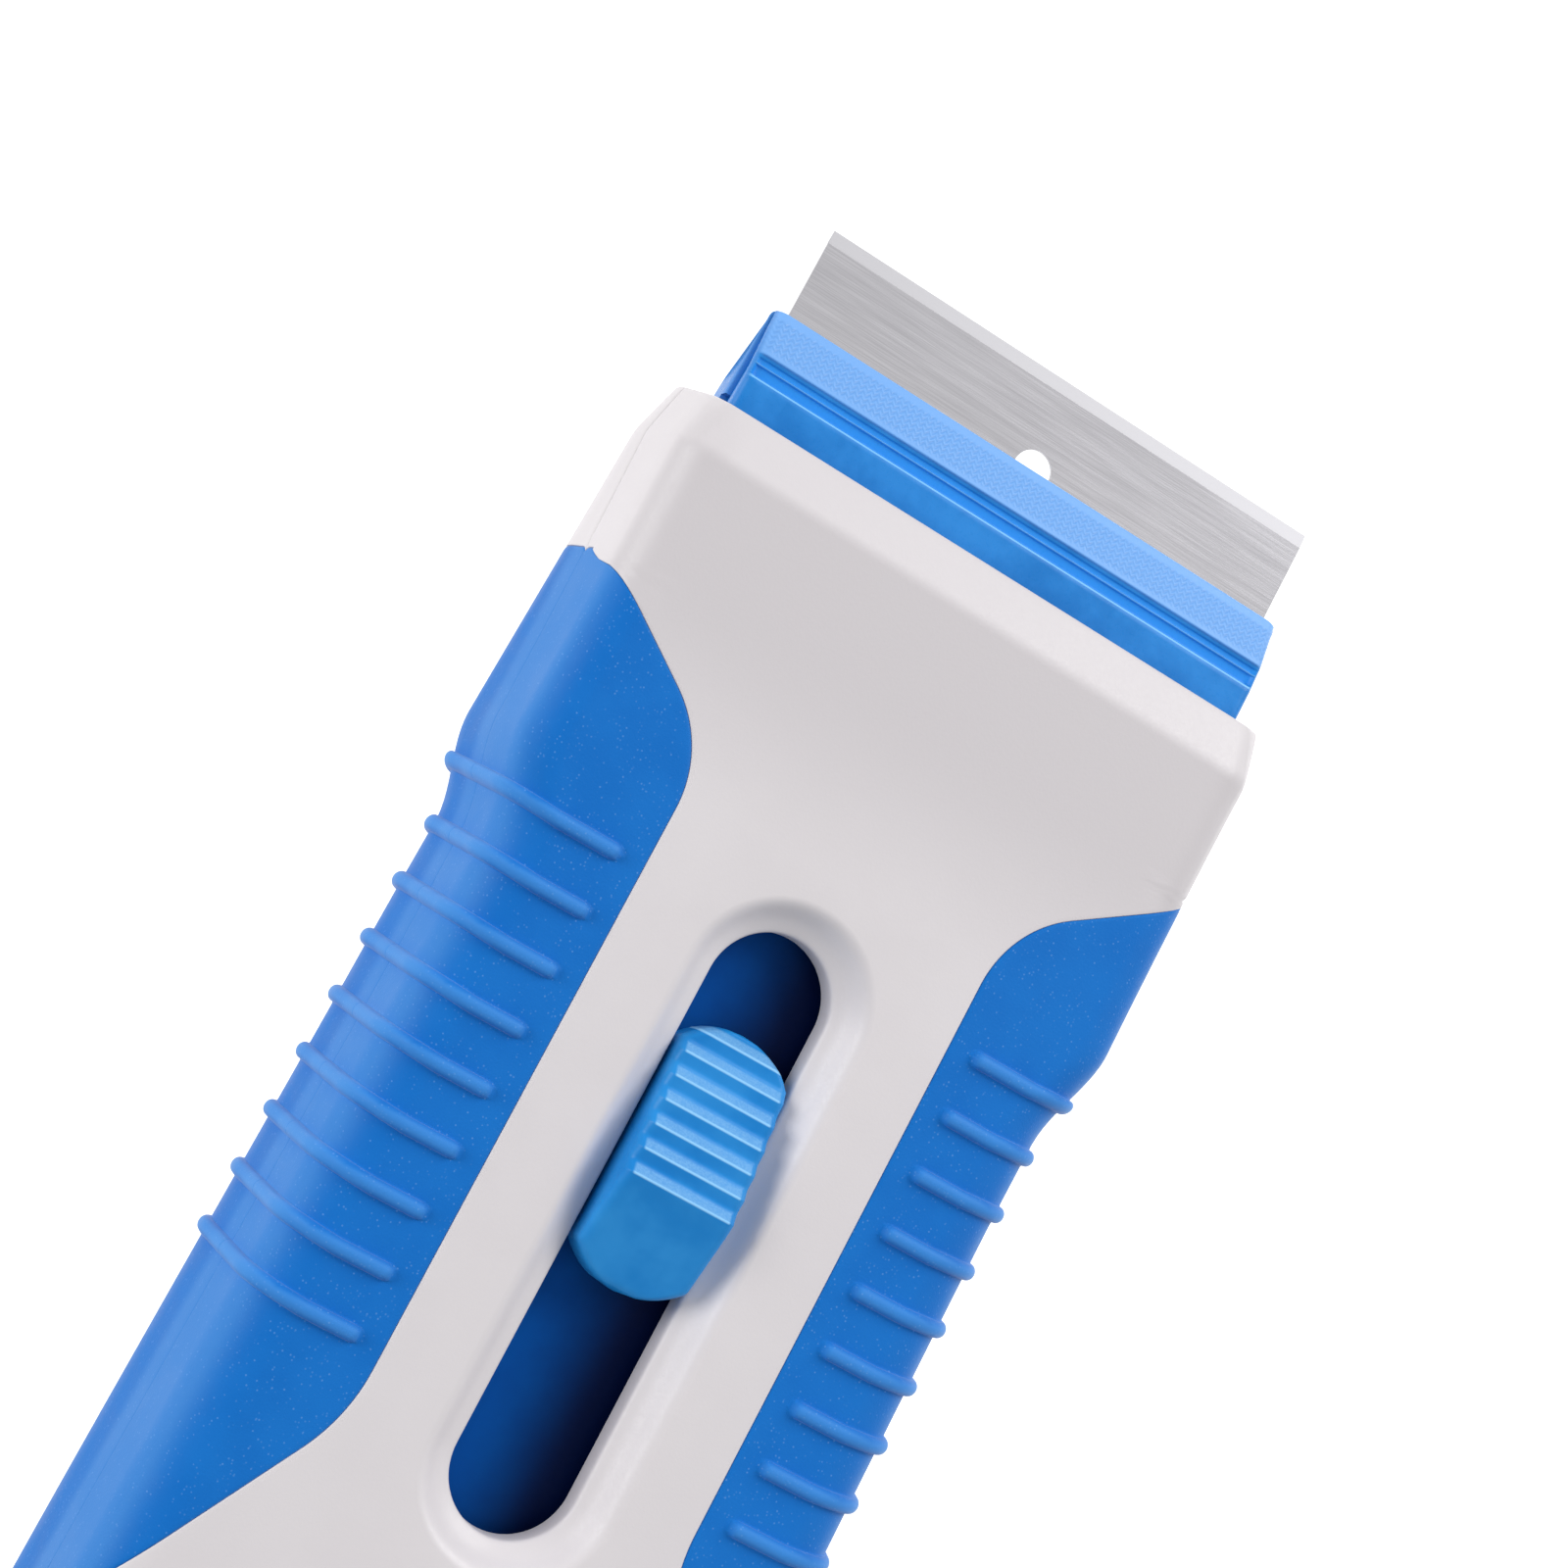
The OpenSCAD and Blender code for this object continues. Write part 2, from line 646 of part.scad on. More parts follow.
// Stations where the form bends, from the mouth to the tail
form_ys = concat(
    [mouth_y, bevel_y],
    steps(shoulder_y, waist_y, shoulder_steps),
    steps(rise_y + rise_blend, rise_y, rise_steps),
    steps(waist_y, tail_round_y, rise_steps),
    [tail_back_y],
    [for (k = [1:tail_steps]) tail_round_y - tail_round * sin(90 * k / tail_steps)]
);
body_ys = thinned(sorted(form_ys), 0.05);
cavity_front_y = mouth_y - end_wall;
cavity_rear_y = tail_y + end_wall;
cavity_ys = concat(
    [cavity_front_y], [for (y = body_ys) if (y < cavity_front_y - 0.1 && y > cavity_rear_y + 0.1) y], [cavity_rear_y]
);
grip_ys = thinned(sorted(concat(
    [for (y = form_ys) if (y < grip_tip_y && y > grip_heel_y) y],
    steps(grip_tip_y, grip_front_y, bend_steps),
    steps(grip_rear_y, grip_heel_y, bend_steps)
)), 0.05);
rib_ys = [for (i = [0:rib_count - 1]) mouth_y - rib_first_back - i * rib_pitch];
ribbed_ys = thinned(sorted(concat(
    [for (y = grip_ys) if (min([for (c = rib_ys) abs(y - c)]) > rib_w / 2 + 0.05) y],
    [for (c = rib_ys) for (k = [-1, -rib_round_at, rib_round_at, 1]) c + k * rib_w / 2]
)), 0.01);

// Height of the ribs at y
function rib_at(y) =
    let (near = min([for (c = rib_ys) abs(y - c)]) / (rib_w / 2))
    near < rib_round_at + 0.01 ? rib_h * rib_round_h : 0;

// Length s of a grip's edge at y
function grip_end_s(y, up) =
    up ? max(corner_s(y, grip_x(y)), seam_s(y) + least_strip)
       : min(back_s(y, grip_x(y)), seam_s(y) - least_strip);

// Share of the way across a grip at which a rib ends
function rib_share(y, up) =
    let (
        s0 = seam_s(y),
        s1 = grip_end_s(y, up),
        end = up ? corner_s(y, rib_end_x) : -wall_len(y) - corners(y)[5] * (rib_back_angle + lean(y)) * PI / 180
    )
    max(0.3, min(0.85, (end - s0) / (s1 - s0)));

// Point of a grip at y, a share of the way from the seam to its edge, moved out by d
function grip_point(y, up, share, d) =
    let (s0 = seam_s(y, d, (up ? 1 : -1) * grip_gap / 2), s1 = grip_end_s(y, up))
    side_point(y, s0 + (s1 - s0) * share, d);

// Cross-section of the right grip at y, from its ribbed outside to its inside
function grip_section(y, up) =
    let (
        width = abs(grip_end_s(y, up) - seam_s(y)),
        end = rib_share(y, up),
        full = end * max(0.5, 1 - rib_fade / width),
        outside = concat(
            [for (k = [0:side_steps]) grip_point(y, up, full * k / side_steps, rib_at(y))],
            [for (k = [0:edge_steps]) grip_point(y, up, end + (1 - end) * k / edge_steps, 0)]
        ),
        inside = [for (k = [inner_steps:-1:0]) grip_point(y, up, k / inner_steps, -grip_t)],
        ring = concat(outside, inside)
    )
    up ? ring : [for (i = [len(ring) - 1:-1:0]) ring[i]];

// Cross-section at y of the pocket that a right grip lies in, open past the seam and to the outside
function pocket_side(y, up, d) =
    let (way = up ? 1 : -1)
    concat(
        [side_point(y, seam_s(y, d) - way * over, d)],
        [for (k = [0:inner_steps - 1]) grip_point(y, up, k / inner_steps, d)],
        [side_point(y, grip_end_s(y, up) + way * grip_gap, d)]
    );

function pocket_section(y, up) =
    let (
        outside = pocket_side(y, up, over),
        inside = pocket_side(y, up, -grip_t - grip_gap),
        last = len(inside) - 1,
        ring = concat(outside, [for (i = [last:-1:0]) inside[i]])
    )
    up ? ring : [for (i = [len(ring) - 1:-1:0]) ring[i]];

function mean(points) = [for (p = points) 1] * points / len(points);

// Solid through a row of rings, each ring clockwise as seen along the row, with fans that close its ends
module loft(rings) {
    n = len(rings[0]);
    last = (len(rings) - 1) * n;
    first_mid = last + n;
    last_mid = last + n + 1;
    polyhedron(
        points = concat([for (r = rings) each r], [mean(rings[0]), mean(rings[len(rings) - 1])]),
        faces = concat(
            [for (j = [0:n - 1]) [j, (j + 1) % n, first_mid]],
            [for (j = [0:n - 1]) [last + (j + 1) % n, last + j, last_mid]],
            [
                for (i = [0:len(rings) - 2])
                    for (j = [0:n - 1])
                        let (a = i * n + j, b = i * n + (j + 1) % n)
                        each [[a, a + n, b + n], [a, b + n, b]]
            ]
        ),
        convexity = 10
    );
}

function unit(v) = v / norm(v);

// Rings of a wire along a path that never runs along side
function wire_rings(path, d, side) =
    [
        for (i = [0:len(path) - 1])
            let (
                t = unit(path[min(i + 1, len(path) - 1)] - path[max(i - 1, 0)]),
                n1 = unit(cross(t, side)),
                n2 = cross(t, n1)
            )
            [for (k = [0:wire_sides - 1]) let (a = 360 * k / wire_sides) path[i] + d / 2 * (cos(a) * n1 + sin(a) * n2)]
    ];

// Profile in Y and Z, extruded across the handle about its middle
module across(points, w) {
    rotate([90, 0, 90]) linear_extrude(w, center = true) polygon(points);
}

// Block between two corners
module block(low, high) {
    translate(low) cube(high - low);
}

// Slot-shaped outline with the half width r round the slot's two end centres
module slot_outline(r) {
    for (y = [slot_front_y - slot_w / 2, slot_rear_y + slot_w / 2])
        translate([0, y]) circle(r);
    translate([-r, slot_rear_y + slot_w / 2]) square([2 * r, slot_len - slot_w]);
}

// Slot-shaped solid that widens from r0 at z0 to r1 at z1
module slot_funnel(r0, r1, z0, z1) {
    for (y = [slot_front_y - slot_w / 2, slot_rear_y + slot_w / 2])
        translate([0, y, z0]) cylinder(h = z1 - z0, r1 = r0, r2 = r1);
    translate([0, slot_front_y - slot_w / 2, 0]) rotate([90, 0, 0]) linear_extrude(slot_len - slot_w)
        polygon([[-r0, z0], [r0, z0], [r1, z1], [-r1, z1]]);
}

// Wall that stands on the bottom shell's floor from x0 to x1 and y0 to y1, up to the height z
module floor_wall_at(x0, x1, y0, y1, z) {
    ys = concat([y1], [for (y = body_ys) if (y < y1 - 0.1 && y > y0 + 0.1) y], [y0]);
    translate([(x0 + x1) / 2, 0, 0])
        across(concat([[y0, z], [y1, z]], [for (y = ys) [y, bottom_z(y) + floor_wall - root]]), x1 - x0);
}

module both_sides() {
    children();
    mirror([1, 0, 0]) children();
}

// Handle

module handle_form() {
    loft([for (y = body_ys) section(y, 0, 0, 0)]);
}

module handle_cavity() {
    loft([for (y = cavity_ys) section(y, side_wall, top_wall, floor_wall)]);
}

module grip_pocket(up) {
    first = grip_ys[0] + grip_gap;
    end = grip_ys[len(grip_ys) - 1] - grip_gap;
    middle = [for (i = [1:len(grip_ys) - 2]) grip_ys[i]];
    loft([for (y = concat([first], middle, [end])) pocket_section(y, up)]);
}

// Room for what stands on the inside of the walls, sunk into them by the depth of its roots
module inner_form() {
    ys = [for (y = cavity_ys) if (y < shoulder_y + over && y > screw_y - 3 * screw_boss_r) y];
    loft([for (y = ys) section(y, side_wall - root, top_wall - root, floor_wall - root)]);
}

module mouth_opening() {
    block([-mouth_half, cavity_front_y - over, mouth_low_z], [mouth_half, mouth_y + over, mouth_high_z]);
}

// One half of the handle's wall, above or below the seam
module half_shell(up) {
    difference() {
        intersection() {
            handle_form();
            block([-big, -big, up ? seam_z : -big], [big, big, up ? big : seam_z]);
        }
        both_sides() grip_pocket(up);
        handle_cavity();
        mouth_opening();
    }
}

module top_shell() {
    color(shell_white) difference() {
        union() {
            half_shell(true);
            translate([0, 0, well_low_z]) linear_extrude(body_t - root - well_low_z)
                slot_outline(slot_w / 2 + recess_w + well_wall);
            both_sides() {
                translate([screw_x, screw_y, seam_z])
                    cylinder(h = body_t - top_wall + root - seam_z, d = screw_d + 2 * screw_wall);
                block([tongue_x - tongue_t, tongue_y, seam_z], [tongue_x + root, tongue_y + tongue_len, seam_z + tongue_reach]);
                block([tongue_x - tongue_t, tongue_y, seam_z - tongue_reach], [tongue_x, tongue_y + tongue_len, seam_z + root]);
            }
        }
        slot_funnel(slot_w / 2, slot_w / 2 + recess_w, body_t - slot_rim_depth, body_t);
        translate([0, 0, well_low_z - over]) linear_extrude(body_t) slot_outline(slot_w / 2);
        both_sides() translate([screw_x, screw_y, seam_z - over])
            cylinder(h = screw_seat_z + screw_len + screw_gap - seam_z + over, d = screw_d + 2 * screw_gap);
    }
}

// Rails and ledges for the carriage, screw bosses and the detent's rack
module bottom_fittings() {
    both_sides() {
        floor_wall_at(guide_x, guide_x + rail_w, rail_rear_y, rail_front_y, rail_z);
        floor_wall_at(guide_x - ledge_w, guide_x + rail_w, rail_rear_y, rail_front_y, ledge_z);
        translate([screw_x, screw_y, 0]) cylinder(h = seam_z, r = screw_boss_r);
    }
    floor_wall_at(detent_x - rack_w / 2, detent_x + rack_w / 2, notch_ys[0] - rack_end, notch_ys[2] + rack_end, rack_z);
}

module bottom_shell() {
    color(shell_white) difference() {
        union() {
            half_shell(false);
            intersection() {
                inner_form();
                bottom_fittings();
            }
        }
        for (y = notch_ys)
            translate([detent_x, 0, 0]) across([
                [y - leaf_bump / 2 - rack_gap, rack_z + over],
                [y - leaf_bump / 2 - rack_gap, rack_z],
                [y, rack_z - leaf_bump_h - rack_gap],
                [y + leaf_bump / 2 + rack_gap, rack_z],
                [y + leaf_bump / 2 + rack_gap, rack_z + over]
            ], rack_w + over);
        both_sides() translate([screw_x, screw_y, -over]) {
            cylinder(h = screw_seat_z + over, d = screw_head_d + 2 * screw_gap);
            cylinder(h = seam_z + 2 * over, d = screw_d + 2 * screw_gap);
        }
    }
}

module right_grip(up) {
    loft([for (y = ribbed_ys) grip_section(y, up)]);
}

module top_left_grip() {
    color(grip_blue) mirror([1, 0, 0]) right_grip(true);
}

module top_right_grip() {
    color(grip_blue) right_grip(true);
}

module bottom_left_grip() {
    color(grip_blue) mirror([1, 0, 0]) right_grip(false);
}

module bottom_right_grip() {
    color(grip_blue) right_grip(false);
}

module shell_screws() {
    color(steel) both_sides() translate([screw_x, screw_y, screw_sink]) difference() {
        union() {
            cylinder(h = screw_head_t, d = screw_head_d);
            cylinder(h = screw_head_t + screw_len, d = screw_d);
        }
        for (a = [0, 90])
            rotate(a) block([-screw_d / 2, -cross_w / 2, -over], [screw_d / 2, cross_w / 2, cross_depth]);
    }
}

// Carriage and blade holder

module rivet(x, y, d, head_d, low, high) {
    translate([x, y, low]) {
        cylinder(h = high - low, d = d);
        cylinder(h = rivet_head_t, d = head_d);
    }
    translate([x, y, high - rivet_head_t]) cylinder(h = rivet_head_t, d = head_d);
}

module carriage() {
    color(carriage_blue) difference() {
        union() {
            block([-carriage_w / 2, carriage_rear_y, carriage_low_z], [carriage_w / 2, carriage_front_y, carriage_top_z]);
            translate([0, button_y, boss_low_z]) cylinder(h = boss_h + root, d = boss_d);
        }
        translate([0, button_y, boss_low_z - over]) cylinder(h = boss_h + carriage_t + 2 * over, d = stem_d + 2 * stem_gap);
        translate([0, button_y, seat_z]) cylinder(h = seat_depth + over, d = seat_d);
        both_sides() {
            translate([rivet_x, rivet_y, carriage_low_z - over])
                cylinder(h = carriage_t + 2 * over, d = rivet_d + 2 * rivet_gap);
            translate([rivet_x, rivet_y, carriage_top_z - rivet_head_t])
                cylinder(h = rivet_head_t + over, d = rivet_head_d + 2 * rivet_gap);
        }
        translate([detent_x, leaf_rivet_y, carriage_low_z - over])
            cylinder(h = carriage_t + 2 * over, d = leaf_rivet_d + 2 * rivet_gap);
        translate([detent_x, leaf_rivet_y, carriage_top_z - rivet_head_t])
            cylinder(h = rivet_head_t + over, d = leaf_rivet_head_d + 2 * rivet_gap);
    }
}

// Plan of the jaws from the tip back to y, with chamfered front corners
module jaw_plan(y) {
    tip = jaw_tip_w / 2;
    base = jaw_base_w / 2;
    right = [
        [tip - jaw_corner, jaw_tip_y], [tip, jaw_tip_y - jaw_corner / 2], [base, mouth_y], [base, y]
    ];
    polygon(concat(right, [for (i = [3:-1:0]) [-right[i].x, right[i].y]]));
}

module lower_jaw() {
    ear_in = ear_x - ear_w;
    color(holder_blue) difference() {
        union() {
            intersection() {
                translate([0, 0, jaw_low_z - over]) linear_extrude(big) jaw_plan(jaw_rear_y);
                across([
                    [jaw_tip_y, blade_high_z], [jaw_tip_y, blade_z - lower_tip_h],
                    [jaw_tip_y - lower_slope, jaw_low_z], [jaw_rear_y, jaw_low_z], [jaw_rear_y, blade_high_z]
                ], big);
            }
            block([-flange_w / 2, flange_rear_y, jaw_low_z], [flange_w / 2, jaw_rear_y + root, flange_top_z]);
            both_sides() translate([ear_in, 0, 0]) {
                translate([0, hinge_y, hinge_z]) rotate([0, 90, 0]) cylinder(h = ear_w, d = knuckle_d);
                block([0, hinge_y, hinge_z - knuckle_d / 2], [ear_w, jaw_rear_y + root, blade_low_z]);
            }
        }
        block([-blade_w / 2 - blade_side_gap, blade_back_y - blade_gap, blade_low_z],
            [blade_w / 2 + blade_side_gap, edge_y, blade_z + over]);
        translate([-big / 2, hinge_y, hinge_z]) rotate([0, 90, 0]) cylinder(h = big, d = pin_d + 2 * ear_gap);
        both_sides() {
            translate([rivet_x, rivet_y, jaw_low_z - over]) {
                cylinder(h = lower_h + over, d = rivet_d + 2 * rivet_gap);
                cylinder(h = rivet_head_t + over, d = rivet_head_d + 2 * rivet_gap);
            }
        }
    }
}

module jaw_rivets() {
    color(steel) both_sides() rivet(rivet_x, rivet_y, rivet_d, rivet_head_d, jaw_low_z, carriage_top_z);
}

// Profile of the upper jaw: land, twin groove, channel and flat back
function upper_profile() =
    let (
        land_y = jaw_tip_y - land_len,
        channel_y = land_y - channel_len,
        groove = 0.14,
        top = blade_z + upper_h,
        land = blade_z + land_h
    )
    [
        [upper_rear_y, upper_low_z], [jaw_tip_y, upper_low_z], [jaw_tip_y, blade_z + upper_tip_h],
        [land_y, land], [land_y - groove, land - groove], [land_y - 2 * groove, land - groove],
        [land_y - 3 * groove, land - 2 * groove],
        [channel_y, top - channel_depth], [channel_y - groove, top - groove], [channel_y - 3 * groove, top],
        [upper_rear_y, top]
    ];

module upper_jaw() {
    knuckle_x = ear_x - ear_w - ear_side_gap;
    groove_z = hinge_z + jaw_spring_r - jaw_wire / 2 - jaw_spring_gap / 2;
    color(holder_blue) difference() {
        union() {
            intersection() {
                translate([0, 0, blade_z - over]) linear_extrude(big) jaw_plan(upper_rear_y);
                across(upper_profile(), big);
            }
            both_sides() translate([spring_bay, 0, 0]) {
                translate([0, hinge_y, hinge_z]) rotate([0, 90, 0]) cylinder(h = knuckle_x - spring_bay, d = knuckle_d);
                block([0, hinge_y, upper_low_z], [knuckle_x - spring_bay, upper_rear_y + root, hinge_z + knuckle_d / 2]);
            }
        }
        translate([-big / 2, hinge_y, hinge_z]) rotate([0, 90, 0]) cylinder(h = big, d = pin_d + 2 * pin_gap);
        block([jaw_spring_x - jaw_wire, upper_rear_y - over, groove_z],
            [jaw_spring_x + jaw_wire, hinge_y + jaw_spring_leg + jaw_wire, blade_z + upper_h + over]);
    }
}

module jaw_hinge_pin() {
    color(steel) translate([-ear_x, hinge_y, hinge_z]) rotate([0, 90, 0]) cylinder(h = 2 * ear_x, d = pin_d);
}

jaw_spring_r = pin_d / 2 + jaw_spring_gap + jaw_wire / 2;
jaw_spring_x = jaw_spring_turns * jaw_spring_pitch / 2;

// Path of the jaw spring: a leg on the upper jaw, the turns round the pin, and a leg down to the flange
jaw_spring_path = concat(
    [[jaw_spring_x, hinge_y + jaw_spring_leg, hinge_z + jaw_spring_r]],
    [
        for (k = [0:(jaw_spring_turns + 0.25) * turn_steps])
            let (turn = k / turn_steps, a = 90 + 360 * turn)
            [
                jaw_spring_x - 2 * jaw_spring_x * turn / (jaw_spring_turns + 0.25),
                hinge_y + jaw_spring_r * cos(a),
                hinge_z + jaw_spring_r * sin(a)
            ]
    ],
    [[-jaw_spring_x, hinge_y - jaw_spring_r, flange_top_z + jaw_wire / 4]]
);

module jaw_spring() {
    color(steel) loft(wire_rings(jaw_spring_path, jaw_wire, [1, 0, 0]));
}

module razor_blade() {
    half = blade_t / 2;
    keen = blade_edge_t / 2;
    color(steel) difference() {
        across([
            [blade_back_y, blade_z - half], [edge_y - blade_band, blade_z - half], [edge_y, blade_z - keen],
            [edge_y, blade_z + keen], [edge_y - blade_band, blade_z + half], [blade_back_y, blade_z + half]
        ], blade_w);
        translate([0, edge_y - blade_hole_back, blade_z - over]) cylinder(h = 2 * over, d = blade_hole_d);
    }
}

// Thumb button

// Height of the button at the share t of the way from its front to its crest
function button_rise_z(t) =
    body_t - button_front_below + (button_front_below + button_crest) * (1 - pow(1 - t, button_swell));

// Profile of the button: sawtooth steps that climb from the front to the crest, then a slope to the rear
function button_profile() =
    let (
        top = [
            for (i = [0:step_count - 1])
                let (y = button_front_y - step_start - i * step_pitch)
                each [
                    [y, button_rise_z(i / step_count)],
                    [y - step_lean * step_pitch, button_rise_z((i + step_lean) / step_count) + step_depth]
                ]
        ]
    )
    concat(
        [[button_front_y, button_low_z], [button_front_y, button_rise_z(0)]],
        top,
        [
            [button_front_y - step_start - step_count * step_pitch, button_rise_z(1)],
            [button_rear_y, body_t - button_rear_below], [button_rear_y, button_low_z]
        ]
    );

// Plan of the button: a bar with two arched ends
module button_plan() {
    intersection() {
        translate([-button_w / 2, button_rear_y]) square([button_w, button_len]);
        translate([0, button_front_y - button_r]) union() {
            circle(button_r, $fn = 96);
            translate([-big / 2, -big]) square([big, big]);
        }
        translate([0, button_rear_y + button_r]) union() {
            circle(button_r, $fn = 96);
            translate([-big / 2, 0]) square([big, big]);
        }
    }
}

module thumb_button() {
    color(holder_blue) {
        intersection() {
            translate([0, 0, button_low_z - over]) linear_extrude(big) button_plan();
            across(button_profile(), big);
        }
        difference() {
            translate([0, button_y, stem_low_z]) cylinder(h = button_low_z + root - stem_low_z, d = stem_d);
            translate([0, button_y, clip_low_z - clip_gap]) difference() {
                cylinder(h = clip_t + 2 * clip_gap, d = stem_d + over);
                cylinder(h = clip_t + 2 * clip_gap, d = stem_d - 2 * clip_groove);
            }
        }
    }
}

// Path of the button spring between its seat and the button
button_spring_path = [
    for (k = [0:button_spring_turns * turn_steps])
        let (
            a = 360 * k / turn_steps,
            low = seat_z + button_wire / 2 + clip_gap,
            high = button_low_z - button_wire / 2 - clip_gap
        )
        [
            button_spring_d / 2 * cos(a),
            button_y + button_spring_d / 2 * sin(a),
            low + (high - low) * k / (button_spring_turns * turn_steps)
        ]
];

module button_spring() {
    color(steel) loft(wire_rings(button_spring_path, button_wire, [0, 0, 1]));
}

module button_clip() {
    color(steel) translate([0, button_y, clip_low_z]) difference() {
        cylinder(h = clip_t, d = clip_d);
        translate([0, 0, -over]) cylinder(h = clip_t + 2 * over, d = stem_d - 2 * clip_groove + 2 * clip_gap);
        block([-stem_d / 2 + clip_groove, 0, -over], [stem_d / 2 - clip_groove, clip_d, clip_t + over]);
    }
}

// Detent

module detent_spring() {
    top = carriage_low_z;
    low = leaf_low_z;
    tip_y = leaf_bump_y + leaf_bump;
    upper = [
        [leaf_rear_y, top], [leaf_arm_y, top], [leaf_bump_y, low], [leaf_peak_y, low - leaf_bump_h],
        [tip_y, low], [tip_y + leaf_tip, low + leaf_bump_h]
    ];
    color(steel) difference() {
        translate([detent_x, 0, 0])
            across(concat(upper, [for (i = [len(upper) - 1:-1:0]) upper[i] - [0, leaf_t]]), leaf_w);
        translate([detent_x, leaf_rivet_y, top - leaf_t - over])
            cylinder(h = leaf_t + 2 * over, d = leaf_rivet_d + 2 * rivet_gap);
    }
}

module detent_rivet() {
    color(steel) rivet(detent_x, leaf_rivet_y, leaf_rivet_d, leaf_rivet_head_d,
        carriage_low_z - leaf_t - rivet_head_t, carriage_top_z);
}

top_shell();
bottom_shell();
top_left_grip();
top_right_grip();
bottom_left_grip();
bottom_right_grip();
shell_screws();
carriage();
lower_jaw();
jaw_rivets();
upper_jaw();
jaw_hinge_pin();
jaw_spring();
razor_blade();
thumb_button();
button_spring();
button_clip();
detent_spring();
detent_rivet();
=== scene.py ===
import math

import bmesh
import bpy
from mathutils import Matrix


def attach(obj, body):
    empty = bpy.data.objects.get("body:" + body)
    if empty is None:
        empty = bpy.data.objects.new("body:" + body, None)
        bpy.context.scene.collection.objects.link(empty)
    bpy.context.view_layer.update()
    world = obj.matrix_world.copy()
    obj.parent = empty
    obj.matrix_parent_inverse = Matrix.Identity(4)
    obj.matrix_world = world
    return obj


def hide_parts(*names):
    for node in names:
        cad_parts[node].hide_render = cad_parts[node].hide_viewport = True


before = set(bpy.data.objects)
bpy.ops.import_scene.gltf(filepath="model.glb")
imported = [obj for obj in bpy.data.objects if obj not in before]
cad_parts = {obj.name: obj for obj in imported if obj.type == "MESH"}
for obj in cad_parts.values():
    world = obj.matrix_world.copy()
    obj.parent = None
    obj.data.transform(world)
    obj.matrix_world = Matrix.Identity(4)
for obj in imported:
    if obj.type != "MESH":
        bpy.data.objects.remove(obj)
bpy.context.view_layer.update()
scene = bpy.context.scene
scene.view_settings.view_transform = "Standard"
mm = 0.001  # lengths of the pieces are millimetres in the frame of the solids
perMetre = 1000.0
weld = 1e-7  # points closer than this, in metres, become one
print("frame loaded:", len(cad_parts), "nodes")


# small helpers for meshes

def newSkin():
    return {"points": [], "faces": [], "fills": []}


def addRow(skin, row):
    first = len(skin["points"])
    skin["points"].extend(row)
    return list(range(first, first + len(row)))


def bridge(skin, a, b, skip=(), closed=False):
    count = len(a) if closed else len(a) - 1
    for i in range(count):
        if i not in skip:
            j = (i + 1) % len(a)
            skin["faces"].append((a[i], a[j], b[j], b[i]))


def addRows(skin, rows, closed=False):
    made = [addRow(skin, row) for row in rows]
    for a, b in zip(made, made[1:]):
        bridge(skin, a, b, closed=closed)
    return made


def addCap(skin, row, centre):
    middle = addRow(skin, [centre])[0]
    for i in range(len(row)):
        skin["faces"].append((row[i], row[(i + 1) % len(row)], middle))


def addBox(skin, low, high):
    (x0, y0, z0), (x1, y1, z1) = low, high
    ring = [(x0, y0), (x1, y0), (x1, y1), (x0, y1)]
    a, b = addRows(skin, [[(x, y, z) for x, y in ring] for z in (z0, z1)], closed=True)
    skin["faces"] += [tuple(a), tuple(b)]


def circle(middle, radius, sides):
    turn = [2 * math.pi * k / sides for k in range(sides)]
    return [(middle[0] + radius * math.cos(a), middle[1] + radius * math.sin(a)) for a in turn]


def addBarrel(skin, middle, radius, x0, x1, sides=32):
    rows = [[(x, y, z) for y, z in circle(middle, radius, sides)] for x in (x0, x1)]
    for row, x in zip(addRows(skin, rows, closed=True), (x0, x1)):
        addCap(skin, row, (x, *middle))


def steps(a, b, n):
    return [a + (b - a) * k / n for k in range(n + 1)]


def softLine(bends, cuts=4, mostOfSide=0.48):
    # bends are (y, z, reach of the curve), and each inner one becomes a small curve
    line = [bends[0][:2]]
    for before, bend, after in zip(bends, bends[1:], bends[2:]):
        ends = []
        for other in (before, after):
            length = math.dist(bend[:2], other[:2])
            share = min(bend[2], mostOfSide * length) / length
            ends.append([bend[k] + (other[k] - bend[k]) * share for k in (0, 1)])
        for t in steps(0.0, 1.0, cuts):
            line.append(tuple(
                (1 - t) ** 2 * ends[0][i] + 2 * t * (1 - t) * bend[i] + t * t * ends[1][i] for i in (0, 1)))
    return line + [bends[-1][:2]]


def roundDrop(inset, radius):
    # how far a rounded edge lies below the face at this distance from its outside
    if inset >= radius:
        return 0.0
    return radius - math.sqrt(max(0.0, radius ** 2 - (radius - max(0.0, inset)) ** 2))


